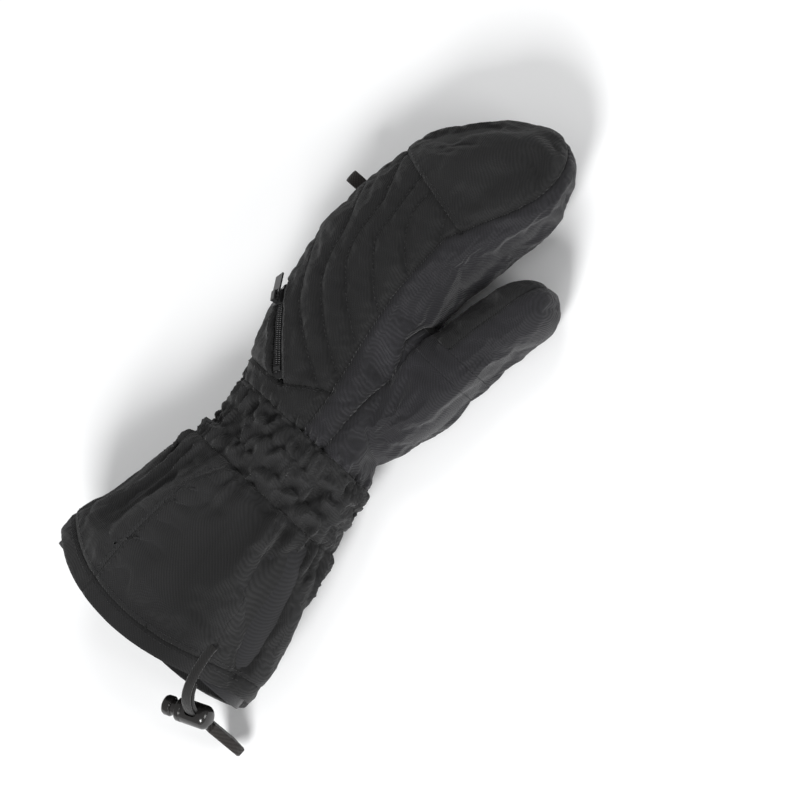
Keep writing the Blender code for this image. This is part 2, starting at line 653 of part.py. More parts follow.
def build_pocket_zip():
    """Tapes, coils, stops, slider and pull of the pocket's zip, and the pocket behind it."""
    tape_low, tape_high = ZIP_LOW + 0.0005, ZIP_TOP - 0.0005
    swept_bar("zip_tape_hand_side", tape_low, tape_high, 0.0003, ZIP_TAPE_HALF, ZIP_TAPE_DEPTH,
              ZIP_TAPE_THICK, FABRIC, 0.85)
    swept_bar("zip_tape_outer_side", tape_low, tape_high, -ZIP_TAPE_HALF, -0.0003, ZIP_TAPE_DEPTH,
              ZIP_TAPE_THICK, FABRIC, 0.85)
    coil_depth = ZIP_TAPE_DEPTH - ZIP_TAPE_THICK - 0.0003
    swept_bar("zip_coil_hand_side", ZIP_LOW + 0.0046, ZIP_TOP - 0.0052, 0.00015, ZIP_COIL_HALF, coil_depth,
              ZIP_COIL_HEIGHT, GLOSS, 0.4)
    swept_bar("zip_coil_outer_side", ZIP_LOW + 0.0046, ZIP_TOP - 0.0052, -ZIP_COIL_HALF, -0.00015,
              coil_depth, ZIP_COIL_HEIGHT, GLOSS, 0.4)
    swept_bar("zip_bottom_stop", ZIP_LOW + 0.0028, ZIP_LOW + 0.0043, -ZIP_COIL_HALF, ZIP_COIL_HALF,
              coil_depth, ZIP_COIL_HEIGHT, GLOSS, 0.4)
    swept_bar("zip_top_stop", ZIP_TOP - 0.0049, ZIP_TOP - 0.0034, -ZIP_COIL_HALF, ZIP_COIL_HALF,
              coil_depth, ZIP_COIL_HEIGHT, GLOSS, 0.4)
    top_depth = coil_depth - ZIP_COIL_HEIGHT - 0.0008
    closed, run, cross, out = zip_frame(SLIDER_CLOSED, top_depth)
    middle = zip_frame((SLIDER_CLOSED + SLIDER_OPEN) / 2, top_depth)
    opened = zip_frame(SLIDER_OPEN, top_depth)[0]
    centre = circle_through(closed, middle[0], opened)
    pivot = bpy.data.objects.new("zip_slider_axis", None)
    pivot.location = centre
    link(pivot, cutters)
    turn = Matrix((run, -cross, out)).transposed()
    plate = Vector((SLIDER_LENGTH, 2 * SLIDER_HALF, SLIDER_PLATE))
    flange = Vector((SLIDER_LENGTH - 0.0003, SLIDER_HALF - SLIDER_CHANNEL_HALF, 0.0016))
    flange_y = (SLIDER_HALF + SLIDER_CHANNEL_HALF) / 2 - 0.0001
    post = Vector((0.0012, 0.0024, BRIDGE_RISE))
    bridge = Vector((0.0062, 0.0026, 0.0009))
    lift = SLIDER_PLATE
    slider = solid_from_boxes("zip_slider", [
        (plate, Vector((0, 0, SLIDER_PLATE / 2))),
        (flange, Vector((0, flange_y, SLIDER_PLATE - 0.0011))),
        (flange, Vector((0, -flange_y, SLIDER_PLATE - 0.0011))),
        (post, Vector((-0.0025, 0, lift + BRIDGE_RISE / 2 - 0.0003))),
        (post, Vector((0.0025, 0, lift + BRIDGE_RISE / 2 - 0.0003))),
        (bridge, Vector((0, 0, lift + BRIDGE_RISE - 0.0005))),
    ], GLOSS, 0.35)
    pull_hole = 0.0030
    rail = Vector((pull_hole + 0.0030, PULL_THICK, PULL_THICK * 0.9))
    side_y = PULL_WIDTH / 2
    eye = lift + BRIDGE_RISE / 2 - 0.0004
    near, far = -0.0007, PULL_LENGTH
    pull = solid_from_boxes("zip_pull", [
        (Vector((0.0010, PULL_WIDTH + PULL_THICK + 0.0003, PULL_THICK)), Vector((near + 0.0006, 0, 0))),
        (rail, Vector((near + rail.x / 2 + 0.0001, side_y, 0))),
        (rail, Vector((near + rail.x / 2 + 0.0001, -side_y, 0))),
        (Vector((far - rail.x, PULL_WIDTH + PULL_THICK + 0.0003, PULL_THICK)),
         Vector((near + rail.x + (far - rail.x) / 2 - 0.0008, 0, 0))),
    ], GLOSS, 0.35)
    for vert in slider.data.vertices:
        vert.co = turn @ vert.co + closed - centre
    lean = Matrix.Rotation(-PULL_REST, 3, "Y")
    hook = closed + turn @ Vector((0, 0, eye))
    for vert in pull.data.vertices:
        vert.co = turn @ (lean @ vert.co)
    slider.parent = pivot
    pull.parent = pivot
    pull.location = hook - centre
    room = layer(POCKET_OUT, POCKET_IN)
    panel("pocket_bag", room, [("x", pocket_edge, 1), ("z", back_seam, 1), ("y", level(0.024), 1),
                               ("y", level(0.088), -1), ("x", level(0.004), -1)], FABRIC, 0.85)


def pocket_edge(y):
    """The line in plan where the pocket starts, clear of the zip's tape."""
    return zip_line(y) + 0.0085


def build_wrist_band():
    """The elastic band that gathers the wrist."""
    panel("wrist_elastic_band", layer(POCKET_OUT, PADDING_OUT),
          [("y", level(WRIST_TOP - 0.003), -1), ("y", level(WRIST_LOW + 0.003), 1)], LINING, 0.9)


def hem_floor(x):
    """Place of the channel's floor inside the hem."""
    return hem_line(x) + CHANNEL_FLOOR


def hem_angle_place(angle):
    """The place along the hem's middle at one angle round the gauntlet."""
    place = HEM_BACK
    for _ in range(4):
        place = hem_line(body_point(place, angle).x) + 0.0045
    return place


def tube(name, points, radius, colour, roughness, collection, resolution=2):
    """A cord's tube along points, with closed ends."""
    curve = bpy.data.curves.new(name, "CURVE")
    curve.dimensions = "3D"
    curve.bevel_depth = radius
    curve.bevel_resolution = resolution
    curve.use_fill_caps = True
    spline = curve.splines.new("POLY")
    spline.points.add(len(points) - 1)
    for point, place in zip(spline.points, points):
        point.co = (*place, 1.0)
    obj = link(bpy.data.objects.new(name, curve), collection)
    return finish(obj, colour, roughness)


def smooth_route(points, count):
    """Places along a smooth curve through a route's points."""
    rows = [(index, *point) for index, point in enumerate(points)]
    return [Vector(through(rows, (len(points) - 1) * step / (count - 1))) for step in range(count)]


def build_hem():
    """The hem with its channel, the cord inside it, and the slit that the cord leaves by."""
    channel = panel("hem_room", layer(CHANNEL_OUT, CHANNEL_IN), [("y", hem_floor, 1)], FABRIC, 0.8)
    parts.objects.unlink(channel)
    cutters.objects.link(as_cutter(channel))
    panel("hem_channel", layer(0.0, CUFF_LINING_IN), [("y", hem_line, 1), ("y", hem_top, -1)],
          FABRIC, 0.8, without=[channel])
    start, end = math.radians(60), math.radians(60 + 350)
    count = 48
    loop = []
    for step in range(count):
        angle = lerp(start, end, step / (count - 1))
        place = hem_angle_place(angle)
        loop.append(sunk(body_point, place, angle, HEM_CORD_DEPTH, BODY_START, BODY_TIP))
    tube("hem_cord_loop", loop, HEM_CORD_RADIUS, GLOSS, 0.8, parts, 0)


def slit_cutter():
    """The slit in the gauntlet's seam that the cord comes out of."""
    here = back_point(SLIT_X, SLIT_PLACE)
    bm = bmesh.new()
    box_mesh(bm, Vector((0.0034, 0.0075, 0.0090)), Vector((0, 0, 0)))
    bmesh.ops.rotate(bm, verts=bm.verts, matrix=Matrix.Rotation(math.radians(35), 3, "Y"))
    bmesh.ops.translate(bm, verts=bm.verts, vec=here)
    return as_cutter(link(bpy.data.objects.new("cord_slit", mesh_from(bm, "cord_slit")), cutters))


def turned(name, profile, segments=20):
    """A turned piece about X from (place, radius) points, with its ends closed on the axis."""
    bm = bmesh.new()
    verts = [bm.verts.new((place, radius, 0.0)) for place, radius in profile]
    edges = [bm.edges.new(pair) for pair in zip(verts, verts[1:])]
    bmesh.ops.spin(bm, geom=verts + edges, cent=(0, 0, 0), axis=(1, 0, 0), angle=2 * math.pi,
                   steps=segments, use_merge=True)
    bmesh.ops.remove_doubles(bm, verts=bm.verts, dist=1e-6)
    bmesh.ops.recalc_face_normals(bm, faces=bm.faces)
    bm.normal_update()
    return mesh_from(bm, name)


def rounded_hole(name, size, place):
    """A cutter for the cord's hole, an upright block with rounded corners."""
    bm = bmesh.new()
    box_mesh(bm, size, place)
    upright = [e for e in bm.edges if abs(e.verts[0].co.z - e.verts[1].co.z) > size.z / 2]
    bmesh.ops.bevel(bm, geom=upright, offset=size.y * 0.45, segments=4, profile=0.5,
                    affect="EDGES", material=-1)
    obj = bpy.data.objects.new(name, mesh_from(bm, name))
    cutters.objects.link(as_cutter(obj))
    return obj


def build_cord_lock():
    """The spring lock: barrel, plunger and spring, modelled along X and then set in place."""
    half = LOCK_LENGTH / 2
    bore = LOCK_RADIUS - LOCK_WALL
    blind = half - 0.0022
    dome = 0.0042
    profile = [(-half, bore), (-half, LOCK_RADIUS - 0.0008), (-half + 0.0008, LOCK_RADIUS)]
    for step in range(5):
        turn = step / 4 * math.pi / 2
        profile.append((half - dome + dome * math.sin(turn), LOCK_RADIUS * math.cos(turn)))
    profile[-1] = (half, 0.0)
    profile += [(blind, 0.0), (blind, bore), (-half, bore)]
    barrel = bpy.data.objects.new("cord_lock_barrel", turned("cord_lock_barrel", profile))
    hole = rounded_hole("cord_hole", LOCK_HOLE_SIZE, Vector((0, 0, 0)))
    stem = bore - PLUNGER_CLEARANCE
    knob_face = -half - PLUNGER_TRAVEL - 0.0005
    stem_end = knob_face + PLUNGER_STEM + 0.0012
    knob = [(knob_face - KNOB_LENGTH, 0.0), (knob_face - KNOB_LENGTH, KNOB_RADIUS - 0.0012),
            (knob_face - KNOB_LENGTH + 0.0012, KNOB_RADIUS), (knob_face - 0.0008, KNOB_RADIUS),
            (knob_face, KNOB_RADIUS - 0.0008), (knob_face, stem), (stem_end, stem), (stem_end, 0.0)]
    plunger = bpy.data.objects.new("cord_lock_plunger", turned("cord_lock_plunger", knob))
    room = PLUNGER_TRAVEL
    slot = rounded_hole("plunger_slot", LOCK_HOLE_SIZE + Vector((room, 0, 0)), Vector((-room / 2, 0, 0)))
    stand = Matrix.Translation(LOCK_MIDDLE) @ Matrix.Rotation(LOCK_TURN, 4, "Z")
    for obj, cutter, colour in ((barrel, hole, GLOSS), (plunger, slot, GLOSS)):
        cutters.objects.link(obj)
        cut(obj, cutter, "DIFFERENCE")
        settle(obj)
        obj.data.transform(stand)
        cutters.objects.unlink(obj)
        finish(link(obj, parts), colour, 0.25)
    bpy.data.objects.remove(hole)
    bpy.data.objects.remove(slot)
    coil_radius = stem - 0.0010
    low, high = stem_end + SPRING_WIRE + 0.0003, blind - SPRING_WIRE - 0.0003
    count = SPRING_TURNS * 9 + 1
    wire = []
    for step in range(count):
        turn = 2 * math.pi * SPRING_TURNS * step / (count - 1)
        spot = Vector((lerp(low, high, step / (count - 1)), coil_radius * math.cos(turn),
                       coil_radius * math.sin(turn)))
        wire.append(stand @ spot)
    tube("cord_lock_spring", wire, SPRING_WIRE, (0.6, 0.6, 0.62), 0.3, parts, 0)


def build_drawcord():
    """The two legs of the drawcord and the sewn tab at their end."""
    tube("drawcord_outer_leg", smooth_route(OUTER_LEG, 26), CORD_THICK / 2, GLOSS, 0.8, parts, 1)
    tube("drawcord_inner_leg", smooth_route(INNER_LEG, 18), CORD_THICK / 2, GLOSS, 0.8, parts, 1)
    bm = bmesh.new()
    box_mesh(bm, Vector((TAB_WIDTH, TAB_THICK + 0.0022, TAB_LENGTH)), Vector((0, 0, -TAB_LENGTH / 2)))
    flat = [e for e in bm.edges if abs(e.verts[0].co.z - e.verts[1].co.z) > TAB_LENGTH / 2]
    bmesh.ops.bevel(bm, geom=flat, offset=0.0009, segments=2, profile=0.5, affect="EDGES", material=-1)
    end = (Vector(OUTER_LEG[-1]) + Vector(INNER_LEG[-1])) / 2
    bmesh.ops.rotate(bm, verts=bm.verts, matrix=Matrix.Rotation(-TAB_LEAN, 3, "Y"))
    down = Matrix.Rotation(-TAB_LEAN, 3, "Y") @ Vector((0, 0, -1))
    bmesh.ops.translate(bm, verts=bm.verts, vec=end + down * 0.0012)
    tab = link(bpy.data.objects.new("cord_end_tab", mesh_from(bm, "cord_end_tab")), parts)
    finish(tab, FABRIC, 0.85)


def build_loops():
    """The webbing loop on the finger edge and the folded label on the gauntlet's side seam."""
    curve = bpy.data.curves.new("finger_loop", "CURVE")
    curve.dimensions = "3D"
    curve.bevel_depth = WEBBING
    curve.bevel_resolution = 1
    curve.extrude = FINGER_LOOP_WIDE / 2 - WEBBING
    spline = curve.splines.new("POLY")
    count = 16
    spline.points.add(count - 1)
    spline.use_cyclic_u = True
    for step, point in enumerate(spline.points):
        turn = 2 * math.pi * step / count
        point.co = (FINGER_LOOP_LONG * math.cos(turn), FINGER_LOOP_HIGH * math.sin(turn), 0.0, 1.0)
    shape = bpy.data.objects.new("finger_loop_curve", curve)
    cutters.objects.link(shape)
    mesh = evaluated_mesh(shape)
    bpy.data.objects.remove(shape)
    mesh.transform(Matrix.Translation(FINGER_LOOP_MIDDLE) @ Matrix.Rotation(math.radians(90), 4, "X"))
    finish(link(bpy.data.objects.new("finger_loop", mesh), parts), FABRIC, 0.85)
    panel("label_tab", layer(-0.0013, -0.0005),
          [("x", level(0.0), -1), ("y", level(-0.097), 1), ("y", level(-0.060), -1),
           ("z", level(0.013), 1), ("z", level(0.023), -1)], FABRIC, 0.85)


build_hand_shell()
build_inside()
build_wrist_band()
build_pocket_zip()
build_hem()
build_cord_lock()
build_drawcord()
build_loops()


def hang_on(name, place, members):
    """Parents parts to an empty on their joint's axis, without moving them."""
    axis = bpy.data.objects.new(name, None)
    axis.location = place
    link(axis, cutters)
    for member in members:
        obj = parts.objects[member]
        obj.parent = axis
        obj.location = obj.location - place


hang_on("wrist_axis", WRIST_AXIS, [
    "wrist_gather_back", "wrist_gather_palm", "wrist_elastic_band", "wrist_lining", "cuff_back_panel",
    "cuff_outer_panel", "cuff_palm_panel", "cuff_padding", "cuff_lining", "hem_channel",
    "hem_cord_loop", "label_tab", "drawcord_outer_leg", "drawcord_inner_leg", "cord_end_tab",
])
hang_on("thumb_axis", THUMB_AXIS, [
    "thumb_outer_panel", "thumb_inner_panel", "thumb_padding", "thumb_lining",
])
hang_on("lock_axis", LOCK_MIDDLE, ["cord_lock_barrel", "cord_lock_plunger", "cord_lock_spring"])
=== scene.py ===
"""Looks of a left-hand gauntlet ski mitten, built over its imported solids.

The cloth is worked out in a wrist frame, whose zero is the middle of the wrist on the floor: +X points to
the thumb, +Y to the fingertips and +Z out of the back of the hand. One closed form of hand, gauntlet and
thumb is swollen as cloth, drawn in along its seams and quilting, and then parted into its sewn panels.
Zip, drawcord, lock, loops and stitches are laid on that surface.
"""

import logging
import math
from dataclasses import dataclass, field
from enum import Enum
from typing import Callable, Sequence

import bmesh
import bpy
import numpy as np
from mathutils import Matrix, Vector
from mathutils.bvhtree import BVHTree


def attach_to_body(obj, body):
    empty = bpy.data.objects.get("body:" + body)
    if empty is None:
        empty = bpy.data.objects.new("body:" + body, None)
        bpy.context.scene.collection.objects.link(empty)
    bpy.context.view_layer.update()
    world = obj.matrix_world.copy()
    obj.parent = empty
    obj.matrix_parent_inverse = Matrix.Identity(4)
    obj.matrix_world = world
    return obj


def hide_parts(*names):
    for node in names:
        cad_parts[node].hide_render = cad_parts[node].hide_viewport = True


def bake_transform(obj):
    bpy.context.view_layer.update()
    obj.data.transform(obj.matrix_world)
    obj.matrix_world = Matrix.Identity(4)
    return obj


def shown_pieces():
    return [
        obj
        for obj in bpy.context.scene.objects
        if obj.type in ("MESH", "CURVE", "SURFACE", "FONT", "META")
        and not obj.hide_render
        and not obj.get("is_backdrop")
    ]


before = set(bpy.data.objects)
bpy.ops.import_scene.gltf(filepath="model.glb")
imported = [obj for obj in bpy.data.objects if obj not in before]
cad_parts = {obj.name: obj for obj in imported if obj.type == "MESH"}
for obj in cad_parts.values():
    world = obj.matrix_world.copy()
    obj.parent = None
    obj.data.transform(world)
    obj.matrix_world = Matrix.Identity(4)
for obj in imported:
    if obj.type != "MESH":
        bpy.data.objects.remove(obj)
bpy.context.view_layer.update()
LOG = logging.getLogger("ski_mitten")

Rows = tuple[tuple[float, ...], ...]
Colour = tuple[float, float, float]

WRIST_PLACE = Vector((0.0029, -0.0376, 0.0))
"""Where the wrist's middle lies in the row's frame."""

WRIST_TOP, WRIST_LOW = 0.006, -0.030
CREASE_LOW, CREASE_TOP = 0.074, 0.085
PALM_SEAM = 0.011
TIP_SPLIT = -0.010
HEM_DEPTH = 0.010
ZIP_LOW, ZIP_TOP = 0.017, 0.056
ZIP_OPEN_HALF = 0.0027
SKY_HEIGHT = 0.3
"""Where the rays that look for the surface from above start."""
SIM_FRAMES = 16
GRIP_MID, GRIP_HALF, GRIP_TOP, GRIP_ROUND_START = -0.025, 0.026, 0.170, 0.135


def lerp(start: float, end: float, share: float) -> float:
    """The value a share of the way from start to end."""
    return start + (end - start) * share


def ease(values: np.ndarray, low: float, high: float) -> np.ndarray:
    """A smooth step from zero at low to one at high."""
    share = np.clip((values - low) / (high - low), 0.0, 1.0)
    return share * share * (3.0 - 2.0 * share)


def through(rows: Rows, place: np.ndarray) -> np.ndarray:
    """Reads a smooth curve through rows of (place, value, ...).

    Args:
        rows: the stations, in order of place.
        place: the places to read.

    Returns:
        One row of values for each place.
    """
    table = np.asarray(rows, float)
    keys, values = table[:, 0], table[:, 1:]
    place = np.clip(np.asarray(place, float), keys[0], keys[-1])
    low = np.clip(np.searchsorted(keys, place, side="right") - 1, 0, len(keys) - 2)
    high = low + 1
    before, after = np.maximum(low - 1, 0), np.minimum(high + 1, len(keys) - 1)
    span = (keys[high] - keys[low])[:, None]
    start_slope = (values[high] - values[before]) / (keys[high] - keys[before])[:, None] * span
    end_slope = (values[after] - values[low]) / (keys[after] - keys[low])[:, None] * span
    share = ((place - keys[low]) / (keys[high] - keys[low]))[:, None]
    rise = values[high] - values[low]
    cubic = start_slope + end_slope - 2 * rise
    square = 3 * rise - 2 * start_slope - end_slope
    return values[low] + share * (start_slope + share * (square + share * cubic))


class Grain:
    """Smooth, repeatable noise on a lattice, from -1 to 1."""

    def __init__(self, seed: int) -> None:
        """Draws the lattice values.

        Args:
            seed: the number that the values are drawn from.
        """
        self.values = np.random.default_rng(seed).uniform(-1.0, 1.0, 4096)

    def at(self, *axes: np.ndarray) -> np.ndarray:
        """Reads the noise.

        Args:
            axes: one array of coordinates for each direction, in lattice steps.

        Returns:
            The noise at each point.
        """
        floors = [np.floor(axis).astype(np.int64) for axis in axes]
        shares = [axis - base for axis, base in zip(axes, floors)]
        shares = [share * share * (3.0 - 2.0 * share) for share in shares]
        total = np.zeros_like(axes[0], dtype=float)
        for corner in range(2 ** len(axes)):
            key = np.zeros_like(floors[0])
            weight = np.ones_like(total)
            for index, (base, share) in enumerate(zip(floors, shares)):
                bit = corner >> index & 1
                key = key * 57 + (base + bit) * (131 + 1009 * index)
                weight = weight * (share if bit else 1.0 - share)
            total += weight * self.values[key % 4096]
        return total


@dataclass(frozen=True)
class Limb:
    """A rounded, tapering tube with a closed tip: the body or the thumb of the mitten."""

    sections: Rows
    start: float
    tip: float
    tip_round: float
    width_power: float
    height_power: float
    power: float = 2.35
    tip_share: float = 0.24

    def read(self, place: np.ndarray) -> tuple[np.ndarray, ...]:
        """Centre x, half width, centre z and half height at each place."""
        centre, half_width, height, half_height = through(self.sections, place).T
        travel = np.clip((place - self.tip + self.tip_round) / self.tip_round, 0.0, 1.0)
        closing = np.sqrt(1.0 - travel * travel)
        return centre, half_width * closing ** self.width_power, height, half_height * closing ** self.height_power

    def points(self, place: np.ndarray, angle: np.ndarray) -> np.ndarray:
        """Points on the outer face.

        Args:
            place: distances from the wrist.
            angle: turns about the limb's middle line, zero towards the thumb.

        Returns:
            One point a row, with the underside flat on the floor.
        """
        centre, half_width, height, half_height = self.read(place)
        across = np.sign(np.cos(angle)) * np.abs(np.cos(angle)) ** (2 / self.power)
        rise = np.sign(np.sin(angle)) * np.abs(np.sin(angle)) ** (2 / self.power)
        flat = np.maximum(height + half_height * rise, 0.0)
        return np.stack([centre + half_width * across, place, flat], axis=1)

    def sunk(self, place: np.ndarray, angle: np.ndarray, depth: np.ndarray) -> np.ndarray:
        """Points a depth inside the outer face, along its normal.

        Args:
            place: distances from the wrist.
            angle: turns about the middle line.
            depth: how far in each point lies.

        Returns:
            One point a row.
        """
        step = 0.0006
        low = np.maximum(place - step, self.start)
        high = np.minimum(place + step, self.tip - 1e-5)
        along = self.points(high, angle) - self.points(low, angle)
        around = self.points(place, angle + 0.04) - self.points(place, angle - 0.04)
        normal = np.cross(along, around)
        normal /= np.maximum(np.linalg.norm(normal, axis=1), 1e-12)[:, None]
        return self.points(place, angle) - normal * np.asarray(depth)[:, None]

    def pouch(self, around: int, along: int, depth: Callable[[np.ndarray], np.ndarray]) -> bmesh.types.BMesh:
        """A closed volume of the limb, shaped from a sphere.

        Args:
            around: number of faces round the limb.
            along: number of faces along it.
            depth: how far inside the outer face it lies at each place.

        Returns:
            The bmesh, facing out.
        """
        bm = bmesh.new()
        bmesh.ops.create_uvsphere(bm, u_segments=around, v_segments=along, radius=1.0)
        ball = np.array([vert.co for vert in bm.verts])
        share = np.arcsin(np.clip(ball[:, 2], -1.0, 1.0)) / math.pi + 0.5
        angle = np.arctan2(ball[:, 1], ball[:, 0])
        body = self.tip - self.tip_round
        turn = np.clip((share - 1 + self.tip_share) / self.tip_share, 0.0, 1.0) * math.pi / 2
        place = np.where(share <= 1 - self.tip_share,
                         self.start + (body - self.start) * share / (1 - self.tip_share),
                         body + self.tip_round * np.sin(turn))
        place = np.minimum(place, self.tip - 1e-5)
        spots = self.sunk(place, angle, depth(place))
        for end, rim in ((share < 1e-4, self.start), (share > 1 - 1e-4, self.tip)):
            centre, _, height, _ = self.read(np.array([rim]))
            inset = float(depth(np.array([rim]))[0]) if rim == self.tip else 0.0
            spots[end] = (centre[0], rim - inset, height[0])
        for vert, spot in zip(bm.verts, spots):
            vert.co = spot
        bm.normal_update()
        if bm.calc_volume(signed=True) < 0:
            bmesh.ops.reverse_faces(bm, faces=bm.faces)
        return bm


BODY = Limb(
    sections=(
        (-0.150, 0.009, 0.069, 0.0355, 0.0380), (-0.100, 0.009, 0.067, 0.0350, 0.0370),
        (-0.050, 0.007, 0.055, 0.0325, 0.0325), (-0.027, 0.005, 0.047, 0.0315, 0.0280),
        (0.000, 0.003, 0.0445, 0.0310, 0.0265), (0.022, -0.008, 0.0440, 0.0300, 0.0285),
        (0.045, -0.018, 0.0435, 0.0285, 0.0300), (0.075, -0.0265, 0.0405, 0.0275, 0.0305),
        (0.100, -0.0290, 0.0400, 0.0270, 0.0300), (0.125, -0.0262, 0.0420, 0.0265, 0.0290),
        (0.150, -0.0215, 0.0427, 0.0260, 0.0265), (0.180, -0.0136, 0.0427, 0.0255, 0.0265),
        (0.203, -0.0074, 0.0427, 0.0250, 0.0265),
    ),
    start=-0.150, tip=0.203, tip_round=0.053, width_power=1.25, height_power=1.45,
)
THUMB = Limb(
    sections=(
        (0.012, 0.018, 0.014, 0.024, 0.016), (0.045, 0.0262, 0.0225, 0.0200, 0.0205),
        (0.075, 0.0315, 0.0195, 0.0185, 0.0190), (0.100, 0.0350, 0.0180, 0.0180, 0.0180),
        (0.120, 0.0395, 0.0172, 0.0180, 0.0172), (0.141, 0.0425, 0.0172, 0.0180, 0.0172),
    ),
    start=0.012, tip=0.141, tip_round=0.021, width_power=1.0, height_power=1.0,
)


class Lines:
    """The seams of the mitten, as functions of places on it. Each takes and gives arrays."""

    @staticmethod
    def back_seam(x: np.ndarray, y: np.ndarray) -> np.ndarray:
        """Height of the seam between the back and the sides."""
        cuff = 0.0445 + 0.30 * x
        hand = 0.0534 + 0.32 * x
        drop = 0.0275 * np.clip((y - 0.125) / 0.075, 0.0, 1.0)
        return cuff + (hand - cuff) * np.clip((y + 0.05) / 0.06, 0.0, 1.0) - drop

    @staticmethod
    def cross_seam(x: np.ndarray) -> np.ndarray:
        """Place of the seam across the fingertips."""
        return 0.132 + 0.222 * (0.001 - x)

    @staticmethod
    def yoke_seam(x: np.ndarray) -> np.ndarray:
        """Place of the seam below the pocket."""
        return 0.016 + 0.586 * np.clip(x + 0.016, 0.0, 0.03)

    @staticmethod
    def thumb_line(y: np.ndarray) -> np.ndarray:
        """The line in plan between the hand and the thumb."""
        keys = (-0.2, 0.010, 0.055, 0.074, 0.085, 0.100, 0.125, 0.141, 0.152, 0.25)
        return np.interp(y, keys, (0.026, 0.026, 0.0205, 0.0125, 0.0118, 0.0138, 0.0190, 0.0235, 0.050, 0.050))

    @staticmethod
    def thumb_middle(y: np.ndarray) -> np.ndarray:
        """The line in plan of the seam along the thumb's top edge."""
        return through(THUMB.sections, y)[:, 0] - 0.001

    @staticmethod
    def zip_line(y: np.ndarray) -> np.ndarray:
        """The line in plan that the pocket's zip follows."""
        return -0.0163 - (y - 0.015) * 1.095

    @staticmethod
    def cuff_seam(y: np.ndarray) -> np.ndarray:
        """The line in plan of the twin-stitched seam on the gauntlet."""
        return -0.011 + 0.012 * np.clip((y + 0.058) / 0.028, 0.0, 1.0) ** 2

    @staticmethod
    def hem_line(x: np.ndarray) -> np.ndarray:
        """Place of the gauntlet's lower edge."""
        return -0.128 + 0.017 * ((x - 0.012) / 0.067) ** 2

    @staticmethod
    def grip_reach(x: np.ndarray, y: np.ndarray) -> np.ndarray:
        """How far a place lies outside the palm grip's outline: below zero inside."""
        rise = np.clip((y - GRIP_ROUND_START) / (GRIP_TOP - GRIP_ROUND_START), 0.0, 1.0)
        side = np.abs(x - GRIP_MID) - GRIP_HALF * np.sqrt(1.0 - np.minimum(rise, 0.999) ** 2)
        return np.maximum(side, y - GRIP_TOP)


class Panel(Enum):
    """The sewn panels of the shell."""

    FINGERTIP = "fingertip_cloth"
    QUILT = "back_quilt_cloth"
    ZIP_SIDE = "zip_side_cloth"
    YOKE = "back_yoke_cloth"
    OUTER_GUSSET = "outer_gusset_cloth"
    INDEX_GUSSET = "index_gusset_cloth"
    BORDER = "palm_border_cloth"
    GRIP = "palm_grip_skin"
    THUMB_BASE = "thumb_base_cloth"
    CREASE = "thumb_crease_cloth"
    THUMB_OUTER = "thumb_outer_cloth"
    THUMB_INNER = "thumb_inner_cloth"
    GATHER_BACK = "wrist_gather_back_cloth"
    GATHER_PALM = "wrist_gather_palm_cloth"
    CUFF_BACK = "cuff_back_cloth"
    CUFF_OUTER = "cuff_outer_cloth"
    CUFF_PALM = "cuff_palm_cloth"
    HEM = "hem_cloth"


PANEL_ORDER = list(Panel)


def panel_numbers(spots: np.ndarray) -> np.ndarray:
    """Says which panel each place on the shell belongs to.

    Args:
        spots: places in the wrist frame, one a row.

    Returns:
        The panel's number in PANEL_ORDER for each, or -1 past the hem.
    """
    x, y, z = spots.T
    above = z > Lines.back_seam(x, y)
    beyond = (x > Lines.thumb_line(y)) & (y < 0.152) & (y > WRIST_TOP)
    hem = Lines.hem_line(x)
    hand = y > WRIST_TOP
    choices = [
        (y < hem, None),
        (y < hem + HEM_DEPTH, Panel.HEM),
        ((y < WRIST_LOW) & above & (x > Lines.cuff_seam(y)), Panel.CUFF_BACK),
        ((y < WRIST_LOW) & above, Panel.CUFF_OUTER),
        (y < WRIST_LOW, Panel.CUFF_PALM),
        (~hand & above, Panel.GATHER_BACK),
        (~hand, Panel.GATHER_PALM),
        (beyond & (y < CREASE_LOW), Panel.THUMB_BASE),
        (beyond & (y < CREASE_TOP), Panel.CREASE),
        (beyond & (x > Lines.thumb_middle(y)), Panel.THUMB_OUTER),
        (beyond, Panel.THUMB_INNER),
        (above & (y > Lines.cross_seam(x)), Panel.FINGERTIP),
        (above & (y < Lines.yoke_seam(x)), Panel.YOKE),
        (above & (x < Lines.zip_line(y)), Panel.ZIP_SIDE),
        (above, Panel.QUILT),
        ((z > PALM_SEAM) & (x < TIP_SPLIT), Panel.OUTER_GUSSET),
        (z > PALM_SEAM, Panel.INDEX_GUSSET),
        (Lines.grip_reach(x, y) < 0, Panel.GRIP),
    ]
    numbers = np.full(len(spots), PANEL_ORDER.index(Panel.BORDER))
    free = np.ones(len(spots), bool)
    for test, panel in choices:
        take = free & test
        numbers[take] = -1 if panel is None else PANEL_ORDER.index(panel)
        free &= ~test
    return numbers


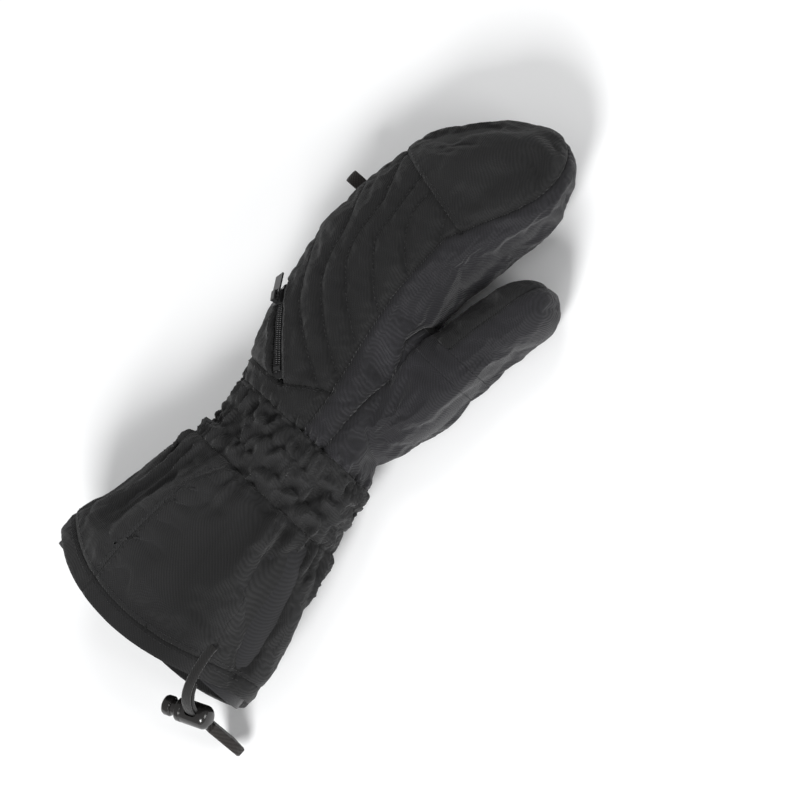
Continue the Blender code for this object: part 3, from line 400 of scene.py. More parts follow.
@dataclass(frozen=True)
class Seam:
    """A sewn line on the shell, where a field over it is zero.

    Attributes:
        field: the field, from places in the wrist frame.
        holds: the stretch of shell that the seam runs over.
        depth: how deep it draws the cloth in.
        width: how far from the line the cloth starts to sink.
        pucker: how high its small wrinkles stand.
    """

    field: Callable[[np.ndarray], np.ndarray]
    holds: Callable[[np.ndarray], np.ndarray]
    depth: float = 0.0012
    width: float = 0.0015
    pucker: float = 0.00035

    def distance(self, spots: np.ndarray, normals: np.ndarray) -> tuple[np.ndarray, np.ndarray]:
        """Distance from the seam over the surface.

        Args:
            spots: places on the shell.
            normals: the shell's normals there.

        Returns:
            The signed distance, and the direction in which it grows.
        """
        step = 2e-5
        slope = np.zeros_like(spots)
        for axis in range(3):
            shift = np.zeros(3)
            shift[axis] = step
            slope[:, axis] = (self.field(spots + shift) - self.field(spots - shift)) / (2 * step)
        slope -= np.sum(slope * normals, axis=1)[:, None] * normals
        steep = np.maximum(np.linalg.norm(slope, axis=1), 0.15)
        return self.field(spots) / steep, slope / steep[:, None]


def on_back(p: np.ndarray) -> np.ndarray:
    """Whether places lie on the back of the hand, short of the thumb."""
    x, y, z = p.T
    return (z > Lines.back_seam(x, y) - 0.001) & (y > WRIST_TOP - 0.001) & off_thumb(p)


def off_thumb(p: np.ndarray) -> np.ndarray:
    """Whether places lie off the thumb."""
    return (p[:, 0] < Lines.thumb_line(p[:, 1]) + 0.0005) | (p[:, 1] > 0.152)


SEAMS: dict[str, Seam] = {
    "back": Seam(lambda p: p[:, 2] - Lines.back_seam(p[:, 0], p[:, 1]),
                 lambda p: off_thumb(p) & ((p[:, 1] > WRIST_TOP) | (p[:, 1] < WRIST_LOW)), 0.0016, 0.0017),
    "cross": Seam(lambda p: p[:, 1] - Lines.cross_seam(p[:, 0]), on_back, 0.0009, 0.0012, 0.0002),
    "yoke": Seam(lambda p: p[:, 1] - Lines.yoke_seam(p[:, 0]), on_back, 0.0012, 0.0014),
    "zip": Seam(lambda p: p[:, 0] - Lines.zip_line(p[:, 1]),
                lambda p: on_back(p) & (p[:, 1] > Lines.yoke_seam(p[:, 0])) & (p[:, 1] < 0.09), 0.0004, 0.0012),
    "palm": Seam(lambda p: p[:, 2] - PALM_SEAM, lambda p: off_thumb(p) & (p[:, 1] > WRIST_TOP), 0.0012, 0.0015),
    "tip": Seam(lambda p: p[:, 0] - TIP_SPLIT,
                lambda p: (p[:, 1] > 0.15) & (p[:, 2] > PALM_SEAM) & ~on_back(p), 0.0010, 0.0013),
    "grip": Seam(lambda p: Lines.grip_reach(p[:, 0], p[:, 1]),
                 lambda p: (p[:, 2] < PALM_SEAM) & (p[:, 1] > WRIST_TOP) & off_thumb(p), 0.0007, 0.0011, 0.0001),
    "thumb": Seam(lambda p: p[:, 0] - Lines.thumb_line(p[:, 1]),
                  lambda p: (p[:, 1] > WRIST_TOP) & (p[:, 1] < 0.09), 0.0015, 0.0016),
    "thumb_top": Seam(lambda p: p[:, 0] - Lines.thumb_middle(p[:, 1]),
                      lambda p: ~off_thumb(p) & (p[:, 1] > CREASE_TOP), 0.0012, 0.0014),
    "cuff": Seam(lambda p: p[:, 0] - Lines.cuff_seam(p[:, 1]),
                 lambda p: (p[:, 2] > Lines.back_seam(p[:, 0], p[:, 1])) & (p[:, 1] < WRIST_LOW), 0.0009, 0.0014),
    "hem": Seam(lambda p: p[:, 1] - Lines.hem_line(p[:, 0]) - HEM_DEPTH, lambda p: p[:, 1] < -0.09,
                0.0009, 0.0012, 0.0003),
    "edge": Seam(lambda p: p[:, 1] - Lines.hem_line(p[:, 0]), lambda p: p[:, 1] < -0.09, 0.0003, 0.0012, 0.0),
    "wrist_top": Seam(lambda p: p[:, 1] - WRIST_TOP, lambda p: p[:, 1] > -0.01, 0.0012, 0.0018, 0.0005),
    "wrist_low": Seam(lambda p: p[:, 1] - WRIST_LOW, lambda p: p[:, 1] < -0.01, 0.0014, 0.0020, 0.0006),
}

QUILT_LINES: tuple[tuple[tuple[float, float], ...], ...] = (
    ((-0.0655, 0.0850), (-0.0524, 0.0694), (-0.0407, 0.0546), (-0.0299, 0.0460), (-0.0136, 0.0362), (0.0040, 0.0270)),
    ((-0.0645, 0.1190), (-0.0508, 0.0985), (-0.0428, 0.0770), (-0.0333, 0.0643), (-0.0181, 0.0522), (0.0039, 0.0389)),
    ((-0.0581, 0.1438), (-0.0440, 0.1190), (-0.0406, 0.0985), (-0.0345, 0.0845), (-0.0191, 0.0696), (0.0003, 0.0560)),
    ((-0.0374, 0.1402), (-0.0334, 0.1192), (-0.0307, 0.1029), (-0.0217, 0.0918), (-0.0101, 0.0806), (-0.0015, 0.0750)),
    ((-0.0266, 0.1374), (-0.0260, 0.1268), (-0.0218, 0.1163), (-0.0130, 0.1056), (-0.0050, 0.0985)),
    ((-0.0113, 0.1340), (-0.0066, 0.1250), (-0.0033, 0.1213)),
)
"""The quilting's stitched lines on the back of the hand, in plan."""


def new_object(name: str, bm: bmesh.types.BMesh) -> bpy.types.Object:
    """Turns a bmesh into a linked, smooth-shaded object and frees it.

    Args:
        name: the object's name.
        bm: the bmesh, in metres.

    Returns:
        The object, at the origin.
    """
    mesh = bpy.data.meshes.new(name)
    bm.to_mesh(mesh)
    bm.free()
    for face in mesh.polygons:
        face.use_smooth = True
    obj = bpy.data.objects.new(name, mesh)
    bpy.context.scene.collection.objects.link(obj)
    return obj


def applied(obj: bpy.types.Object) -> bpy.types.Object:
    """Applies an object's modifiers."""
    bpy.context.view_layer.update()
    graph = bpy.context.evaluated_depsgraph_get()
    obj.data = bpy.data.meshes.new_from_object(obj.evaluated_get(graph), preserve_all_data_layers=True,
                                               depsgraph=graph)
    obj.modifiers.clear()
    return obj


def read_spots(mesh: bpy.types.Mesh) -> np.ndarray:
    """The mesh's points, one a row."""
    spots = np.zeros(len(mesh.vertices) * 3)
    mesh.vertices.foreach_get("co", spots)
    return spots.reshape(-1, 3)


def read_normals(mesh: bpy.types.Mesh) -> np.ndarray:
    """The normals at the mesh's points, one a row."""
    normals = np.zeros(len(mesh.vertices) * 3)
    mesh.vertex_normals.foreach_get("vector", normals)
    return normals.reshape(-1, 3)


def write_spots(mesh: bpy.types.Mesh, spots: np.ndarray) -> None:
    """Moves the mesh's points."""
    mesh.vertices.foreach_set("co", spots.astype(np.float32).ravel())
    mesh.update()


@dataclass
class QuiltMap:
    """The quilting's stitched lines as short chords on the surface."""

    tops: np.ndarray = field(default_factory=lambda: np.zeros((0, 3)))
    ends: np.ndarray = field(default_factory=lambda: np.zeros((0, 3)))

    @classmethod
    def traced(cls, tree: BVHTree) -> "QuiltMap":
        """Drops the plan lines on a surface."""
        tops, ends = [], []
        for line in QUILT_LINES:
            route = drop_line(tree, line, 0.003)
            tops += [tuple(p) for p in route[:-1]]
            ends += [tuple(p) for p in route[1:]]
        return cls(np.array(tops), np.array(ends))

    def reach(self, spots: np.ndarray) -> np.ndarray:
        """Distance from each place to the nearest stitched line."""
        best = np.full(len(spots), 1.0)
        for top, end in zip(self.tops, self.ends):
            near = np.abs(spots - top).max(axis=1) < 0.016
            if not near.any():
                continue
            run = end - top
            share = np.clip((spots[near] - top) @ run / max(run @ run, 1e-12), 0.0, 1.0)
            gap = np.linalg.norm(spots[near] - top - share[:, None] * run, axis=1)
            best[near] = np.minimum(best[near], gap)
        return best


def drop_line(tree: BVHTree, line: Sequence[tuple[float, float]], pitch: float) -> list[Vector]:
    """Lays a plan line on top of a surface.

    Args:
        tree: the surface.
        line: the line's corners in plan; a smooth curve runs through them.
        pitch: how close together the points come.

    Returns:
        Points on the surface.
    """
    rows = tuple((float(index), *corner) for index, corner in enumerate(line))
    steps = np.linspace(0, len(line) - 1, 30 * len(line))
    points = []
    for x, y in through(rows, steps):
        hit = tree.ray_cast(Vector((x, y, SKY_HEIGHT)), Vector((0, 0, -1)))[0]
        if hit is not None and (not points or (hit - points[-1]).length >= pitch):
            points.append(hit)
    return points


@dataclass
class MittenCloth:
    """The whole outer cloth as one closed surface, before it is parted into panels."""

    voxel: float = 0.0018
    swell_cap: float = 0.0038
    obj: bpy.types.Object = field(init=False)
    rest: np.ndarray = field(init=False)
    tree: BVHTree = field(init=False)
    numbers: np.ndarray = field(init=False)

    def build(self) -> None:
        """Makes the form, swells it, and draws in its seams and gathers."""
        self.form()
        self.swell()
        self.refine()
        self.shape()

    def form(self) -> None:
        """Joins the body and the thumb in one even skin."""
        flat = np.zeros_like
        self.obj = new_object("mitten_form", BODY.pouch(96, 110, flat))
        thumb = new_object("thumb_form", THUMB.pouch(48, 50, flat))
        join = self.obj.modifiers.new("join", "BOOLEAN")
        join.operation, join.solver, join.object = "UNION", "MANIFOLD", thumb
        skin = self.obj.modifiers.new("skin", "REMESH")
        skin.mode, skin.voxel_size = "VOXEL", self.voxel
        applied(self.obj)
        bpy.data.objects.remove(thumb)
        self.rest = read_spots(self.obj.data)
        LOG.info("mitten form: %d points", len(self.rest))

    def held(self) -> np.ndarray:
        """How firmly each point is held while the cloth swells: one on seams, quilting and the floor."""
        normals = read_normals(self.obj.data)
        reach = QuiltMap.traced(BVHTree.FromObject(self.obj, bpy.context.evaluated_depsgraph_get())).reach(self.rest)
        hold = np.exp(-(reach / 0.0016) ** 2)
        for seam in SEAMS.values():
            gap = np.abs(seam.distance(self.rest, normals)[0])
            hold = np.maximum(hold, np.where(seam.holds(self.rest), np.exp(-(gap / 0.0020) ** 2), 0.0))
        y, z = self.rest[:, 1], self.rest[:, 2]
        hold = np.maximum(hold, 1.0 - ease(z, 0.0005, 0.004))
        return np.maximum(hold, np.where(y < -0.112, 0.9, 0.0))

    def swell(self) -> None:
        """Lets the cloth fill out between its seams, as wadding fills it."""
        group = self.obj.vertex_groups.new(name="held")
        for index, weight in enumerate(self.held()):
            group.add([index], float(weight), "REPLACE")
        cloth = self.obj.modifiers.new("swell", "CLOTH")
        settings = cloth.settings
        settings.quality = 4
        settings.mass = 0.25
        settings.tension_stiffness = settings.compression_stiffness = 12
        settings.shear_stiffness = 6
        settings.bending_stiffness = 0.25
        settings.use_pressure = True
        settings.uniform_pressure_force = 4.0
        settings.shrink_min = settings.shrink_max = -0.035
        settings.vertex_group_mass = "held"
        settings.effector_weights.gravity = 0.0
        cloth.collision_settings.use_collision = False
        cloth.point_cache.frame_end = SIM_FRAMES
        scene = bpy.context.scene
        for step in range(1, SIM_FRAMES + 1):
            scene.frame_set(step)
        graph = bpy.context.evaluated_depsgraph_get()
        swollen = read_spots(self.obj.evaluated_get(graph).data)
        scene.frame_set(1)
        self.obj.modifiers.clear()
        self.obj.vertex_groups.clear()
        move = swollen - self.rest
        length = np.maximum(np.linalg.norm(move, axis=1), 1e-9)
        move *= (np.minimum(length, self.swell_cap) / length)[:, None]
        write_spots(self.obj.data, self.rest + move)
        LOG.info("cloth swollen by up to %.1f mm", 1000 * length.max())

    def refine(self) -> None:
        """Subdivides the skin once, and carries each point's place before swelling with it."""
        attribute = self.obj.data.attributes.new("rest", "FLOAT_VECTOR", "POINT")
        attribute.data.foreach_set("vector", self.rest.astype(np.float32).ravel())
        finer = self.obj.modifiers.new("finer", "SUBSURF")
        finer.levels = finer.render_levels = 1
        applied(self.obj)
        rest = np.zeros(len(self.obj.data.vertices) * 3, np.float32)
        self.obj.data.attributes["rest"].data.foreach_get("vector", rest)
        self.rest = rest.reshape(-1, 3).astype(float)

    def snap(self, spots: np.ndarray, normals: np.ndarray) -> np.ndarray:
        """Numbers each face's panel, and slides the points between panels onto the seam they follow.

        Args:
            spots: the skin's points.
            normals: the skin's normals.

        Returns:
            The points, moved.
        """
        mesh = self.obj.data
        corners = np.zeros(len(mesh.loops), np.int64)
        mesh.loops.foreach_get("vertex_index", corners)
        starts, totals = np.zeros(len(mesh.polygons), np.int64), np.zeros(len(mesh.polygons), np.int64)
        mesh.polygons.foreach_get("loop_start", starts)
        mesh.polygons.foreach_get("loop_total", totals)
        owner = np.repeat(np.arange(len(totals)), totals)
        middles = np.add.reduceat(self.rest[corners], starts, axis=0) / totals[:, None]
        self.numbers = panel_numbers(middles)
        low, high = np.full(len(spots), 99), np.full(len(spots), -9)
        np.minimum.at(low, corners, self.numbers[owner])
        np.maximum.at(high, corners, self.numbers[owner])
        border = np.flatnonzero(low != high)
        rest = self.rest[border]
        best, shift = np.full(len(border), 0.0013), np.zeros((len(border), 3))
        for seam in SEAMS.values():
            gap, slope = seam.distance(rest, normals[border])
            take = (np.abs(gap) < best) & seam.holds(rest)
            best[take] = np.abs(gap[take])
            shift[take] = -gap[take, None] * slope[take]
        self.rest[border] += shift
        spots[border] += shift
        return spots

    def shape(self) -> None:
        """Draws the seams, quilting, gathers, folds and creases into the skin."""
        mesh = self.obj.data
        spots = read_spots(mesh)
        normals = read_normals(mesh)
        spots = self.snap(spots, normals)
        rise = self.seam_rise(normals) + self.gather_rise() + self.fold_rise() + self.zip_rise()
        limit = np.where(self.rest[:, 2] < 0.0012, 0.0, 1.0)
        rise = rise * np.where(rise > 0, limit, 1.0)
        spots += normals * rise[:, None]
        spots[:, 2] = np.maximum(spots[:, 2], 0.0002)
        write_spots(mesh, spots)
        # The rise is kept as relief, which the cloth finishes paint into the colour: grooves as painted shade, crests
        # as painted highlight.
        relief = mesh.attributes.new("relief", "FLOAT", "POINT")
        relief.data.foreach_set("value", np.clip(rise / 0.0022, -1.0, 1.0).astype(np.float32))
        self.tree = BVHTree.FromObject(self.obj, bpy.context.evaluated_depsgraph_get())

    def seam_rise(self, normals: np.ndarray) -> np.ndarray:
        """How the seams and the quilting draw the cloth in."""
        p = self.rest
        small = Grain(11).at(p[:, 0] / 0.0036, p[:, 1] / 0.0036, p[:, 2] / 0.0036)
        rise = np.zeros(len(p))
        for seam in SEAMS.values():
            gap = np.abs(seam.distance(p, normals)[0])
            holds = seam.holds(p)
            sink = seam.depth * np.exp(-(gap / seam.width) ** 1.4)
            rise -= np.where(holds, sink, 0.0)
            rise += np.where(holds, seam.pucker * small * np.exp(-gap / 0.004) * (1 - np.exp(-gap / 0.001)), 0.0)
        tree = BVHTree.FromObject(self.obj, bpy.context.evaluated_depsgraph_get())
        reach = QuiltMap.traced(tree).reach(read_spots(self.obj.data))
        zone = on_back(p)
        rise -= np.where(zone, 0.0014 * np.exp(-(reach / 0.0018) ** 1.1), 0.0)
        rise += np.where(zone, 0.00030 * small * np.exp(-reach / 0.0045), 0.0)
        return rise

    def gather_rise(self) -> np.ndarray:
        """The irregular gathers round the wrist, between their rows of elastic stitching."""
        x, y, z = self.rest.T
        centre, half_width, height, half_height = BODY.read(y)
        turn = np.arctan2((z - height) / half_height, (x - centre) / half_width)
        sway = 0.0016 * Grain(3).at(turn * 2.5, y * 0)
        band = (y + sway - WRIST_LOW) / 0.0115
        number = np.floor(band)
        within = band - number
        fold = Grain(5).at(turn * 0.044 / 0.0048 + 0.6 * number, y / 0.009)
        fine = Grain(7).at(turn * 0.044 / 0.0021 + 0.3 * number, y / 0.005)
        crest = 1.0 - 2.0 * np.abs(fold)
        bulge = np.sqrt(np.clip(4.0 * within * (1.0 - within), 0.0, 1.0))
        zone = ease(y, WRIST_LOW - 0.007, WRIST_LOW + 0.004) * (1.0 - ease(y, WRIST_TOP - 0.002, WRIST_TOP + 0.008))
        depth = 0.0021 + 0.0010 * Grain(9).at(turn * 1.7 + 2.0, y / 0.020)
        rise = (depth * crest * (0.5 + 0.5 * bulge) + 0.0005 * fine + 0.0007 * bulge - 0.0003) * zone
        return rise

    def fold_rise(self) -> np.ndarray:
        """Soft folds of the gauntlet, and slight unevenness of the padded hand."""
        x, y, z = self.rest.T
        centre, half_width, height, half_height = BODY.read(y)
        turn = np.arctan2((z - height) / half_height, (x - centre) / half_width)
        cuff = 1.0 - ease(y, WRIST_LOW - 0.006, WRIST_LOW + 0.004)
        near = np.exp((y - WRIST_LOW) / 0.030) * cuff
        long_fold = Grain(21).at(turn * 2.6 + 4.0, y / 0.085)
        short_fold = Grain(23).at(turn * 7.5, y / 0.040)
        rise = cuff * (0.0036 * long_fold + 0.0006 * Grain(25).at(x / 0.012, y / 0.02, z / 0.012))
        rise += near * 0.0048 * (0.5 - np.abs(short_fold)) * 1.4
        rise *= np.where(y < -0.09, 1.0 - 0.6 * ease(-y, 0.09, 0.125), 1.0)
        hand = 1.0 - cuff
        rise += hand * 0.0007 * Grain(27).at(x / 0.022, y / 0.030, z / 0.022)
        rise += hand * 0.00025 * Grain(29).at(x / 0.007, y / 0.010, z / 0.007)
        root = np.exp(-((x - 0.012) / 0.016) ** 2) * np.exp(-((y - 0.058) / 0.026) ** 2)
        rise += 0.0011 * root * Grain(31).at((y + 0.5 * x) / 0.0052, x / 0.020)
        fan = np.exp(-((y - 0.030) / 0.022) ** 2) * np.clip((z - 0.035) / 0.02, 0.0, 1.0)
        rise += 0.0008 * fan * Grain(33).at(x / 0.0075, y / 0.040)
        return rise

    def zip_rise(self) -> np.ndarray:
        """The zip's recess between its two folded lips."""
        x, y = self.rest[:, 0], self.rest[:, 1]
        gap = np.abs(x - Lines.zip_line(y)) / math.hypot(1.0, 1.095)
        zone = on_back(self.rest) & (y > ZIP_LOW - 0.001) & (y < ZIP_TOP + 0.001)
        lip = 0.0009 * np.exp(-((gap - 0.0052) / 0.0014) ** 2)
        sink = 0.0016 * (1.0 - ease(gap, 0.0024, 0.0042))
        return np.where(zone, lip - sink, 0.0)


@dataclass(frozen=True)
class Cloth:
    """A woven cloth finish.

    Attributes:
        name: the finish's name.
        colour: its middle colour.
        roughness: how matt it is.
        sheen: how much light its fibres catch at a glance.
        thread: the weave's repeat, in metres.
        bump: how strongly the weave stands out.
        follows_relief: whether the relief is painted into its colour: creases and seams darker as painted shade, crests
            lighter as painted highlight.
    """

    name: str
    colour: Colour
    roughness: float = 0.72
    sheen: float = 0.09
    thread: float = 0.0008
    bump: float = 0.7
    follows_relief: bool = True

    def build(self) -> bpy.types.Material:
        """Makes the node material.

        Returns:
            The material.
        """
        material = bpy.data.materials.new(self.name)
        material.use_nodes = True
        nodes, links = material.node_tree.nodes, material.node_tree.links
        shader = nodes["Principled BSDF"]
        shader.inputs["Roughness"].default_value = self.roughness
        shader.inputs["Sheen Weight"].default_value = self.sheen
        shader.inputs["Sheen Roughness"].default_value = 0.45
        shader.inputs["Specular IOR Level"].default_value = 0.22
        place = nodes.new("ShaderNodeTexCoord").outputs["Object"]
        twill = nodes.new("ShaderNodeTexWave")
        twill.wave_type, twill.bands_direction = "BANDS", "DIAGONAL"
        twill.inputs["Scale"].default_value = 0.314 / self.thread
        twill.inputs["Distortion"].default_value = 0.6
        twill.inputs["Detail"].default_value = 1.0
        links.new(place, twill.inputs["Vector"])
        turned = nodes.new("ShaderNodeMapping")
        turned.inputs["Rotation"].default_value = (0.9, 0.35, 1.25)
        links.new(place, turned.inputs["Vector"])
        weft = nodes.new("ShaderNodeTexWave")
        weft.wave_type, weft.bands_direction = "BANDS", "X"
        weft.inputs["Scale"].default_value = 0.314 / self.thread * 1.7
        weft.inputs["Distortion"].default_value = 0.4
        links.new(turned.outputs["Vector"], weft.inputs["Vector"])
        weave = nodes.new("ShaderNodeMath")
        weave.operation = "MULTIPLY_ADD"
        links.new(weft.outputs["Fac"], weave.inputs[0])
        weave.inputs[1].default_value = 0.45
        links.new(twill.outputs["Fac"], weave.inputs[2])
        bump = nodes.new("ShaderNodeBump")
        bump.inputs["Strength"].default_value = self.bump
        bump.inputs["Distance"].default_value = 0.00025
        links.new(weave.outputs[0], bump.inputs["Height"])
        links.new(bump.outputs["Normal"], shader.inputs["Normal"])
        cloudy = nodes.new("ShaderNodeTexNoise")
        cloudy.inputs["Scale"].default_value = 38.0
        cloudy.inputs["Detail"].default_value = 4.0
        links.new(place, cloudy.inputs["Vector"])
        tone = nodes.new("ShaderNodeMix")
        tone.data_type = "RGBA"
        links.new(cloudy.outputs["Fac"], tone.inputs["Factor"])
        tone.inputs[6].default_value = (*(c * 0.80 for c in self.colour), 1.0)
        tone.inputs[7].default_value = (*(c * 1.22 for c in self.colour), 1.0)
        speck = nodes.new("ShaderNodeMix")
        speck.data_type = "RGBA"
        links.new(weave.outputs[0], speck.inputs["Factor"])
        links.new(tone.outputs[2], speck.inputs[6])
        speck.inputs[7].default_value = (*(c * 1.9 for c in self.colour), 1.0)
        last = speck.outputs[2]
        if self.follows_relief:
            relief = nodes.new("ShaderNodeAttribute")
            relief.attribute_name = "relief"
            # Painted shade and highlight: the base colour is scaled from 0.40 in the deepest creases to 1.60 on the
            # highest crests.
            relief_shade_scale = nodes.new("ShaderNodeMapRange")
            relief_shade_scale.inputs["From Min"].default_value, relief_shade_scale.inputs["From Max"].default_value = -1.0, 1.0
            relief_shade_scale.inputs["To Min"].default_value, relief_shade_scale.inputs["To Max"].default_value = 0.40, 1.60
            links.new(relief.outputs["Fac"], relief_shade_scale.inputs["Value"])
            shade = nodes.new("ShaderNodeVectorMath")
            shade.operation = "SCALE"
            links.new(last, shade.inputs[0])
            links.new(relief_shade_scale.outputs["Result"], shade.inputs["Scale"])
            last = shade.outputs["Vector"]
        links.new(last, shader.inputs["Base Color"])
        return material


@dataclass(frozen=True)
class Moulded:
    """A moulded or metal finish, with a fine grain and faint scuffs."""

    name: str
    colour: Colour
    roughness: float = 0.28
    metallic: float = 0.0
    grain: float = 900.0
    bump: float = 0.06

    def build(self) -> bpy.types.Material:
        """Makes the node material."""
        material = bpy.data.materials.new(self.name)
        material.use_nodes = True
        nodes, links = material.node_tree.nodes, material.node_tree.links
        shader = nodes["Principled BSDF"]
        shader.inputs["Metallic"].default_value = self.metallic
        place = nodes.new("ShaderNodeTexCoord").outputs["Object"]
        speckle = nodes.new("ShaderNodeTexNoise")
        speckle.inputs["Scale"].default_value = self.grain
        links.new(place, speckle.inputs["Vector"])
        bump = nodes.new("ShaderNodeBump")
        bump.inputs["Strength"].default_value = self.bump
        bump.inputs["Distance"].default_value = 0.0002
        links.new(speckle.outputs["Fac"], bump.inputs["Height"])
        links.new(bump.outputs["Normal"], shader.inputs["Normal"])
        scuff = nodes.new("ShaderNodeTexNoise")
        scuff.inputs["Scale"].default_value = 140.0
        scuff.inputs["Detail"].default_value = 5.0
        links.new(place, scuff.inputs["Vector"])
        dull = nodes.new("ShaderNodeMapRange")
        dull.inputs["To Min"].default_value = self.roughness * 0.8
        dull.inputs["To Max"].default_value = min(self.roughness * 1.5, 1.0)
        links.new(scuff.outputs["Fac"], dull.inputs["Value"])
        links.new(dull.outputs["Result"], shader.inputs["Roughness"])
        tone = nodes.new("ShaderNodeMix")
        tone.data_type = "RGBA"
        links.new(scuff.outputs["Fac"], tone.inputs["Factor"])
        tone.inputs[6].default_value = (*(c * 0.85 for c in self.colour), 1.0)
        tone.inputs[7].default_value = (*(c * 1.2 for c in self.colour), 1.0)
        links.new(tone.outputs[2], shader.inputs["Base Color"])
        return material


class Finish(Enum):
    """The finishes of the mitten's materials, by the record's slot."""

    SHELL = ("shell_twill", Cloth("shell_twill", (0.0058, 0.0058, 0.0060)))
    SHELL_BLUE = ("shell_twill_blue", Cloth("shell_twill_blue", (0.0075, 0.0073, 0.0086), 0.66, 0.13))
    GRIP = ("grip", Cloth("grip", (0.0071, 0.0071, 0.0071), 0.50, 0.05, 0.0011, 0.22))
    LINING = ("lining_fleece", Cloth("lining_fleece", (0.0112, 0.0112, 0.0124), 0.95, 0.5, 0.0011, 0.6, False))
    POCKETING = ("pocketing", Cloth("pocketing", (0.0082, 0.0082, 0.0090), 0.85, 0.2, 0.0006, 0.3, False))
    ZIP_TAPE = ("zip_tape", Cloth("zip_tape", (0.0052, 0.0052, 0.0055), 0.8, 0.15, 0.0007, 0.5, False))
    ZIP_PLASTIC = ("zip_plastic", Moulded("zip_plastic", (0.012, 0.012, 0.0125), 0.30))
    DRAWCORD = ("drawcord", Cloth("drawcord", (0.0049, 0.0047, 0.0047), 0.7, 0.25, 0.0009, 0.5, False))
    LOCK = ("lock_plastic", Moulded("lock_plastic", (0.0115, 0.0108, 0.0105), 0.16))
    SPRING = ("spring_steel", Moulded("spring_steel", (0.55, 0.55, 0.57), 0.3, 1.0))
    WEBBING = ("webbing", Cloth("webbing", (0.0091, 0.0077, 0.0071), 0.82, 0.2, 0.0010, 0.7, False))
    THREAD = ("shell_twill", Cloth("sewing_thread", (0.0039, 0.0039, 0.0042), 0.55, 0.2, 0.0004, 0.3, False))

    @property
    def slot(self) -> str:
        """The record's slot."""
        return self.value[0]

    def material(self) -> bpy.types.Material:
        """The finish's material, made once."""
        known = bpy.data.materials.get(self.value[1].name + "_finish")
        if known:
            return known
        made = self.value[1].build()
        made.name = self.value[1].name + "_finish"
        return made


def dress(obj: bpy.types.Object, finish: Finish) -> bpy.types.Object:
    """Gives a piece its finish."""
    obj.data.materials.clear()
    obj.data.materials.append(finish.material())
    return obj


def settle(obj: bpy.types.Object) -> bpy.types.Object:
    """Moves a piece's mesh from the wrist frame to the row's frame."""
    obj.data.transform(Matrix.Translation(WRIST_PLACE))
    return obj


@dataclass(frozen=True)
class PanelJob:
    """How one panel is finished and what it rides on."""

    finish: Finish
    body: str
    nodes: tuple[str, ...]
    thickness: float = 0.0010
    joined_to: str | None = None
    fill: float = 0.5


JOBS: dict[Panel, PanelJob] = {
    Panel.FINGERTIP: PanelJob(Finish.SHELL, "hand", ("fingertip_panel",)),
    Panel.QUILT: PanelJob(Finish.SHELL, "hand", ("back_quilt_panel", "hand_padding_back", "pocket_bag"), fill=0.65),
    Panel.ZIP_SIDE: PanelJob(Finish.SHELL, "hand", ("zip_side_panel",)),
    Panel.YOKE: PanelJob(Finish.SHELL, "hand", ("back_yoke",)),
    Panel.OUTER_GUSSET: PanelJob(Finish.SHELL, "hand", ("outer_gusset",)),
    Panel.INDEX_GUSSET: PanelJob(Finish.SHELL_BLUE, "hand", ("index_gusset",)),
    Panel.BORDER: PanelJob(Finish.SHELL, "hand", ("palm_border_panel", "hand_padding_palm")),
    Panel.GRIP: PanelJob(Finish.GRIP, "hand", ("palm_grip_panel",)),
    Panel.THUMB_BASE: PanelJob(Finish.SHELL_BLUE, "hand", ("thumb_base_panel",)),
    Panel.CREASE: PanelJob(Finish.SHELL_BLUE, "hand", ("thumb_crease_sleeve", "thumb_crease_lining"),
                           joined_to="thumb"),
    Panel.THUMB_OUTER: PanelJob(Finish.SHELL_BLUE, "thumb", ("thumb_outer_panel", "thumb_padding")),
    Panel.THUMB_INNER: PanelJob(Finish.SHELL, "thumb", ("thumb_inner_panel", "thumb_lining")),
    Panel.GATHER_BACK: PanelJob(Finish.SHELL, "hand", ("wrist_gather_back", "wrist_elastic_band"), joined_to="cuff"),
    Panel.GATHER_PALM: PanelJob(Finish.SHELL, "hand", ("wrist_gather_palm",), joined_to="cuff"),
    Panel.CUFF_BACK: PanelJob(Finish.SHELL, "cuff", ("cuff_back_panel", "cuff_padding"), fill=0.25),
    Panel.CUFF_OUTER: PanelJob(Finish.SHELL, "cuff", ("cuff_outer_panel",), fill=0.25),
    Panel.CUFF_PALM: PanelJob(Finish.SHELL, "cuff", ("cuff_palm_panel",), fill=0.25),
    Panel.HEM: PanelJob(Finish.SHELL, "cuff", ("hem_channel",), 0.0036, fill=0.2),
}


def attach(obj: bpy.types.Object, body: str, joined_to: str | None = None) -> bpy.types.Object:
    """Makes a piece ride on a body; a piece joined to the next body is only baked in place and rides on none."""
    if joined_to is None:
        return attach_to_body(obj, body)
    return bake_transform(obj)


